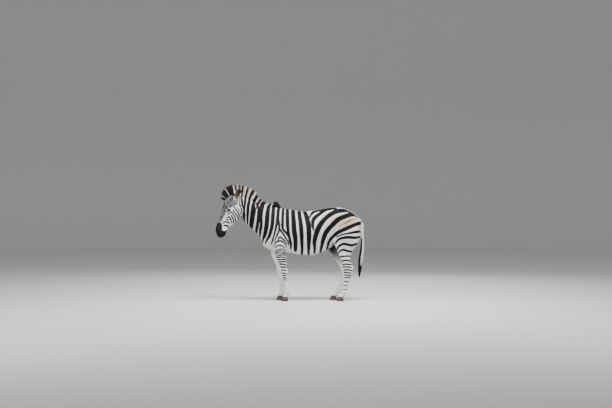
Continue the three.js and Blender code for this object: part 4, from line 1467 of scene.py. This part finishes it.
def eye_globe(name, side):
    bm = bmesh.new()
    bmesh.ops.create_uvsphere(bm, u_segments=56, v_segments=40, radius=1)
    mesh = bpy.data.meshes.new(name)
    bm.to_mesh(mesh)
    ball = points_of(mesh)
    front, up, out = eye_axes()
    off_axis = np.degrees(np.arccos(np.clip(ball[:, 2], -1, 1)))
    radius = (EYE_RADIUS - 0.6) + CORNEA_BULGE * step(36, 14, off_axis)
    away = (ball[:, :1] * front + ball[:, 1:2] * up + ball[:, 2:] * out) * radius[:, None]
    mesh.vertices.foreach_set("co", (from_head((EYE_CENTRE + away) * (1, side, 1)) * 0.001).ravel())
    oblong = np.hypot(ball[:, 0] * RADIAN / PUPIL_LONG, ball[:, 1] * RADIAN / PUPIL_HIGH)
    store_markings(mesh, {"iris": off_axis, "pupil": np.where(ball[:, 2] > 0, oblong, 9)})
    bm.clear()
    bm.from_mesh(mesh)
    bmesh.ops.recalc_face_normals(bm, faces=bm.faces)
    bm.to_mesh(mesh)
    bm.free()
    smooth_shaded(mesh)
    return placed(name, mesh)


def colour_ramp(tree, value, stops):
    """A ramp between two colours at their places."""
    ramp = add_node(tree, "ValToRGB", {"Fac": value})
    for element, (place, colour) in zip(ramp.color_ramp.elements, stops):
        element.position = place
        element.color = colour
    return ramp.outputs["Color"]


def eye_finish():
    wet = {"Roughness": 0.04, "Coat Weight": 1.0, "Coat Roughness": 0.02}
    material, tree, shader = finish("wet dark eye", wet)
    iris = add_node(tree, "Attribute", {}, attribute_name="iris").outputs["Fac"]
    pupil = add_node(tree, "Attribute", {}, attribute_name="pupil").outputs["Fac"]
    share = add_node(tree, "Math", {0: iris, 1: 0.01}, operation="MULTIPLY").outputs[0]
    rim = {"Value": pupil, "From Min": 0.9, "From Max": 1.15}
    outside = add_node(tree, "MapRange", rim).outputs["Result"]
    feeds = {"Factor": outside, "A": EYE_BLACK, "B": colour_ramp(tree, share, IRIS_RAMP)}
    colour = add_node(tree, "Mix", feeds, data_type="RGBA").outputs["Result"]
    tree.links.new(colour, shader.inputs["Base Color"])
    return material


eye_surface = eye_finish()
for side, node in ((-1, "eye_left"), (1, "eye_right")):
    fitted(eye_globe("globe_" + node, side), eye_surface, "eye", node)

# Hooves. Horn walls grow down from the coronet in faint rings, round a flat sole. The right ones stand
# as far ahead of the left ones as their legs do.
CORONET_HEIGHT, PASTERN_HEIGHT = 64, 54
HOOVES = {  # height, toe, heel and half width of each row; distance out; how far the right leg stands ahead
    "fore": (
        [
            (64, -98, -36, 32),
            (57, -104, -33, 36),
            (46, -109, -31, 39.5),
            (28, -117, -27, 42.5),
            (3, -127, -22, 46),
        ],
        116,
        FAR_FORE_STEP,
    ),
    "hind": (
        [
            (64, 676, 740, 30),
            (57, 669, 744, 34.5),
            (46, 664, 746, 37.5),
            (28, 656, 750, 40.5),
            (3, 645, 755, 44),
        ],
        114,
        FAR_HIND_STEP,
    ),
}
HORN_RAMP = [(0.3, (0.018, 0.016, 0.015, 1)), (0.75, (0.075, 0.062, 0.052, 1))]


def hoof_wall(rows, out, steps, side):
    def wrap(turn, share, reach):
        height, toe, heel, half = between(rows, share * (len(rows) - 1)).T
        across, ahead = np.cos(turn), np.sin(turn)
        middle = heel + (toe - heel) * 0.42
        growth_rings = 0.35 * np.sin(height * 1.15 + 0.6 * np.sin(turn * 2)) * (np.abs(height - 30) < 26)
        depth = np.where(ahead > 0, toe - middle, middle - heel)
        x = middle + np.sign(ahead) * depth * np.abs(ahead) ** 0.9 * reach
        y = side * (out + (half + growth_rings) * across * reach)
        z = np.where(reach < 1, np.where(share > 0.5, 0, CORONET_HEIGHT), height)
        if side > 0:
            x = x + np.interp(PASTERN_HEIGHT, *steps)
        return np.stack([x, y, z], 1)

    return wrapped_grid(56, 26, wrap)


def horn_finish():
    material, tree, shader = finish("dark horn", {"Roughness": 0.5})
    place = add_node(tree, "TexCoord", {}).outputs["Object"]
    level = add_node(tree, "Mapping", {"Vector": place, "Scale": (6, 6, 190)}).outputs["Vector"]
    rings = add_node(tree, "TexNoise", {"Vector": level, "Scale": 1, "Detail": 4}).outputs["Fac"]
    ridges = add_node(tree, "Bump", {"Height": rings, "Strength": 0.6, "Distance": 0.0006}).outputs["Normal"]
    tree.links.new(colour_ramp(tree, rings, HORN_RAMP), shader.inputs["Base Color"])
    tree.links.new(ridges, shader.inputs["Normal"])
    return material


horn = horn_finish()
for kind, (rows, out, steps) in HOOVES.items():
    for side, name in ((-1, "left"), (1, "right")):
        wall = joined([hoof_wall(rows, out, steps, side)], "hoof_%s_%s" % (kind, name))
        smooth_shaded(wall.data)
        fitted(wall, horn, "horn", "%shoof_%s" % (kind, name))

# Mane. Stiff upright locks stand along the crest, from the forelock to the withers, round a thin core.
# They are black and white where the neck's stripes run into them, and their tips are faded.
MANE = [  # tip x and z, root x and z, half width
    (-965, 1425, -905, 1405, 15),  # forelock
    (-972, 1488, -880, 1428, 21),
    (-945, 1570, -852, 1455, 24),
    (-880, 1622, -815, 1462, 22),
    (-800, 1652, -768, 1466, 21),  # over the ears
    (-715, 1638, -716, 1452, 21),
    (-630, 1622, -664, 1448, 20),
    (-560, 1592, -612, 1430, 20),
    (-482, 1548, -556, 1404, 19),
    (-446, 1470, -500, 1380, 18),
    (-385, 1412, -440, 1345, 16),
    (-320, 1384, -370, 1320, 15),
    (-262, 1376, -300, 1305, 15),
    (-206, 1400, -240, 1298, 15),  # tuft before the withers
    (-178, 1398, -196, 1292, 14),
    (-140, 1325, -150, 1288, 10),
]
MANE_WHITES = ((0.8, 0.98), (2.26, 2.5), (3.85, 4.12), (4.5, 4.8))  # pale locks ahead of the neck's stripes
POLL_ROW, TUFT_ROW = 5.3, 12.55  # the neck's stripes run into the mane between these rows
MANE_LOCKS = 6400
CREST = 15  # last row of the mane


def mane_marks(t, jitter):
    """The marks of locks at these rows, all but how faded they are."""
    rows = between(MANE, t)
    ink = inside_stripes(np.stack([rows[:, 2] + jitter * 4, rows[:, 3] - 16], 1), BODY_STRIPES)
    pale = [0.5 * (b - a) - np.abs(t + jitter * 0.04 - 0.5 * (a + b)) for a, b in MANE_WHITES]
    ink = np.where(t < POLL_ROW, -70 * np.max(pale, axis=0), ink)
    ink = np.where(t > TUFT_ROW, 12, ink)
    nothing = np.zeros(len(t))
    return {"ink": ink, "brown": nothing + WHITE, "dark": nothing, "warm": 0.35 * step(3, -3, ink)}


rng = np.random.default_rng(7)
count = MANE_LOCKS
steps = np.linspace(0, CREST, 601)
track = between(MANE, steps)
spacing = np.hypot(*np.diff(0.5 * track[:, :2] + 0.5 * track[:, 2:4], axis=0).T)
length = np.concatenate([[0], np.cumsum(spacing)])
t = np.interp(rng.random(count) * length[-1], length, steps)
rows = between(MANE, t)
jitter = rng.normal(size=count)
out = rng.uniform(-1, 1, count)
clump = np.sin(t * 23 + 2 * np.sin(t * 7)) * 0.5 + 0.5 * np.sin(t * 51 + 1)
tall = (0.93 + 0.045 * clump + 0.03 * rng.normal(size=count)) * (1 - 0.16 * np.abs(out) ** 2)
tall = np.minimum(tall, 1.01)
root = np.stack([rows[:, 2], out * rows[:, 4] * 0.55, rows[:, 3]], 1)
tip = np.stack([rows[:, 0], out * rows[:, 4] * 0.9 + 3 * rng.normal(size=count), rows[:, 1]], 1)
tip = root + (tip - root) * tall[:, None]
tip[:, 0] += 7 * jitter
run = tip - root
bow = np.stack([5 * rng.normal(size=count), 2 * rng.normal(size=count), np.zeros(count)], 1)
way = unit(run)
side = unit(np.cross(way, [0, 1, 0]))
across = np.cross(way, side)
rings = []
for share, full in ((0, 0.8), (0.4, 1.0), (0.78, 0.62)):
    centre = root + run * share + bow * math.sin(share * math.pi)
    wide = full * rng.uniform(2.4, 4.2, count)
    rings.append(ring_round(centre, side, across, wide, full * rng.uniform(1.2, 1.9, count)))

finder = kdtree.KDTree(len(hide_points))
for number, point in enumerate(hide_points):
    finder.insert(point, number)
finder.balance()


def map_near(points):
    """The place on the hide's map nearest to each point."""
    return vertex_map[[finder.find(point)[1] for point in points]]


heights = np.append(np.repeat((0, 0.4, 0.78), 3), 1)
marks = mane_marks(t, jitter)
pale_fade = 0.7 * step(0.6, 1.0, heights)
dark_fade = 0.7 * step(0.45, 1, heights)[None] * rng.uniform(0.4, 1, (count, 1))
marks["faded"] = np.where(marks["ink"][:, None] < 0, pale_fade, dark_fade)
hair_mesh("mane", np.stack(rings, 1), tip, map_near(root), marks, "long_hair", "mane")


def mane_core_wrap(turn, share, reach):
    rows = between(MANE, 0.25 + share * 14.2)
    up = np.sin(turn)
    rise = 0.82 * (0.5 + 0.5 * np.sign(up) * np.abs(up) ** 0.7)
    x = rows[:, 2] + (rows[:, 0] - rows[:, 2]) * rise
    z = rows[:, 3] + (rows[:, 1] - rows[:, 3]) * rise
    return np.stack([x, rows[:, 4] * 0.34 * np.cos(turn) * reach, z], 1)


core = joined([wrapped_grid(16, 150, mane_core_wrap)], "mane_core")
line = between(MANE, np.linspace(0, CREST, 10 * CREST + 1))
line = line[:, 2:4] * 0.4 + line[:, :2] * 0.6
core_points = points_of(core.data)[:, ::2] * 1000
nearest = np.array([np.argmin(np.hypot(*(line - point).T)) for point in core_points]) / 10
core_marks = mane_marks(nearest, np.zeros(len(nearest)))
core_marks["faded"] = np.full(len(nearest), 0.35)
store_markings(core.data, core_marks)
smooth_shaded(core.data)
fitted(core, HAIR, "long_hair")

# Tail. The dock ends in a tassel of long locks, dark in front with paler ones behind, whose ends are dark.
# The dark front is black hair and painted shade where the tail faces the rump; the pale locks carry a little
# painted blue-grey shade. The locks start all round the lower half of the dock.
TAIL = [  # height, middle x, half depth, half width, side
    (318, 975, 6, 5, -5),
    (350, 977, 14, 11, -5),
    (420, 982, 25, 25, -6),
    (500, 989, 32, 33, -6),
    (590, 999, 35, 35, -5),
    (690, 1013, 31, 31, -3),
    (800, 1022, 22, 20, 0),
]
TAIL_LOCKS = 2100
rng = np.random.default_rng(11)
count = TAIL_LOCKS
high = rng.uniform(655, 905, count)
turn = rng.uniform(0, 2 * math.pi, count)
reach = np.sqrt(rng.random(count))
dock = between(np.array(DOCK)[2:, :6], np.interp(high, [641, 700, 790, 890, 985, 1080], [5, 4, 3, 2, 1, 0]))
middle = 0.5 * (dock[:, 0] + dock[:, 2])
dock_half = 0.5 * np.abs(dock[:, 0] - dock[:, 2])
root_x = middle + dock_half * 0.8 * np.cos(turn)
root = np.stack([root_x, dock[:, 5] + dock[:, 4] * 0.8 * np.sin(turn), high], 1)
low = np.maximum(high - rng.uniform(150, 480, count), 318 + 150 * rng.random(count) ** 2)


def tail_place(z, spread):
    """Where a lock runs at this height, so far out from the tassel's middle."""
    x, deep, wide, side = (np.interp(z, *np.array(TAIL)[:, [0, column]].T) for column in (1, 2, 3, 4))
    return np.stack([x + deep * spread * np.cos(turn), side + wide * spread * np.sin(turn), z], 1)


middle_z = high + (low - high) * 0.4
lower_z = high + (low - high) * 0.75
centres = [root, tail_place(middle_z, 0.95 * reach), tail_place(lower_z, 0.9 * reach)]
tip = tail_place(low, 0.75 * reach) + 3 * rng.normal(size=(count, 3)) * (1, 1, 0)
rings = []
for centre, after, full in zip(centres, centres[1:] + [tip], (0.8, 1.0, 0.7)):
    ahead = unit(after - centre)
    side = unit(np.cross(ahead, np.stack([np.cos(turn), np.sin(turn), np.zeros(count)], 1)))
    wide = full * rng.uniform(1.8, 3.2, count)
    rings.append(ring_round(centre, side, np.cross(ahead, side), wide, full * rng.uniform(1.0, 1.6, count)))
# Locks facing the rump are black, with painted shade between tail and rump; those behind, and those that end
# high, are pale.
behind = np.cos(turn) + 0.12 * rng.normal(size=count)
pale = (behind > 0) | (low > 680)
heights = np.stack([high] * 3 + [middle_z] * 3 + [lower_z] * 3 + [low], 1)
dark_end = (rng.uniform(450, 590, count)[:, None] - heights) * 0.4
fade = np.where(pale, 0.5, 1) * rng.uniform(0.05, 0.45, count)
# Pale locks: warm below 0 paints a little blue-grey shade on them.
marks = {
    "ink": np.where(pale[:, None], np.clip(dark_end, WHITE, BLACK), BLACK),
    "brown": np.full(count, WHITE),
    "dark": np.zeros(count),
    "warm": np.where(pale, -0.2, 0),
    "faded": np.outer(fade, step(-0.2, 1.1, np.append(np.repeat((0, 0.4, 0.75), 3), 1))),
}
hair_mesh("tail_tassel_locks", np.stack(rings, 1), tip, map_near(root), marks, "long_hair", "tail_tassel")
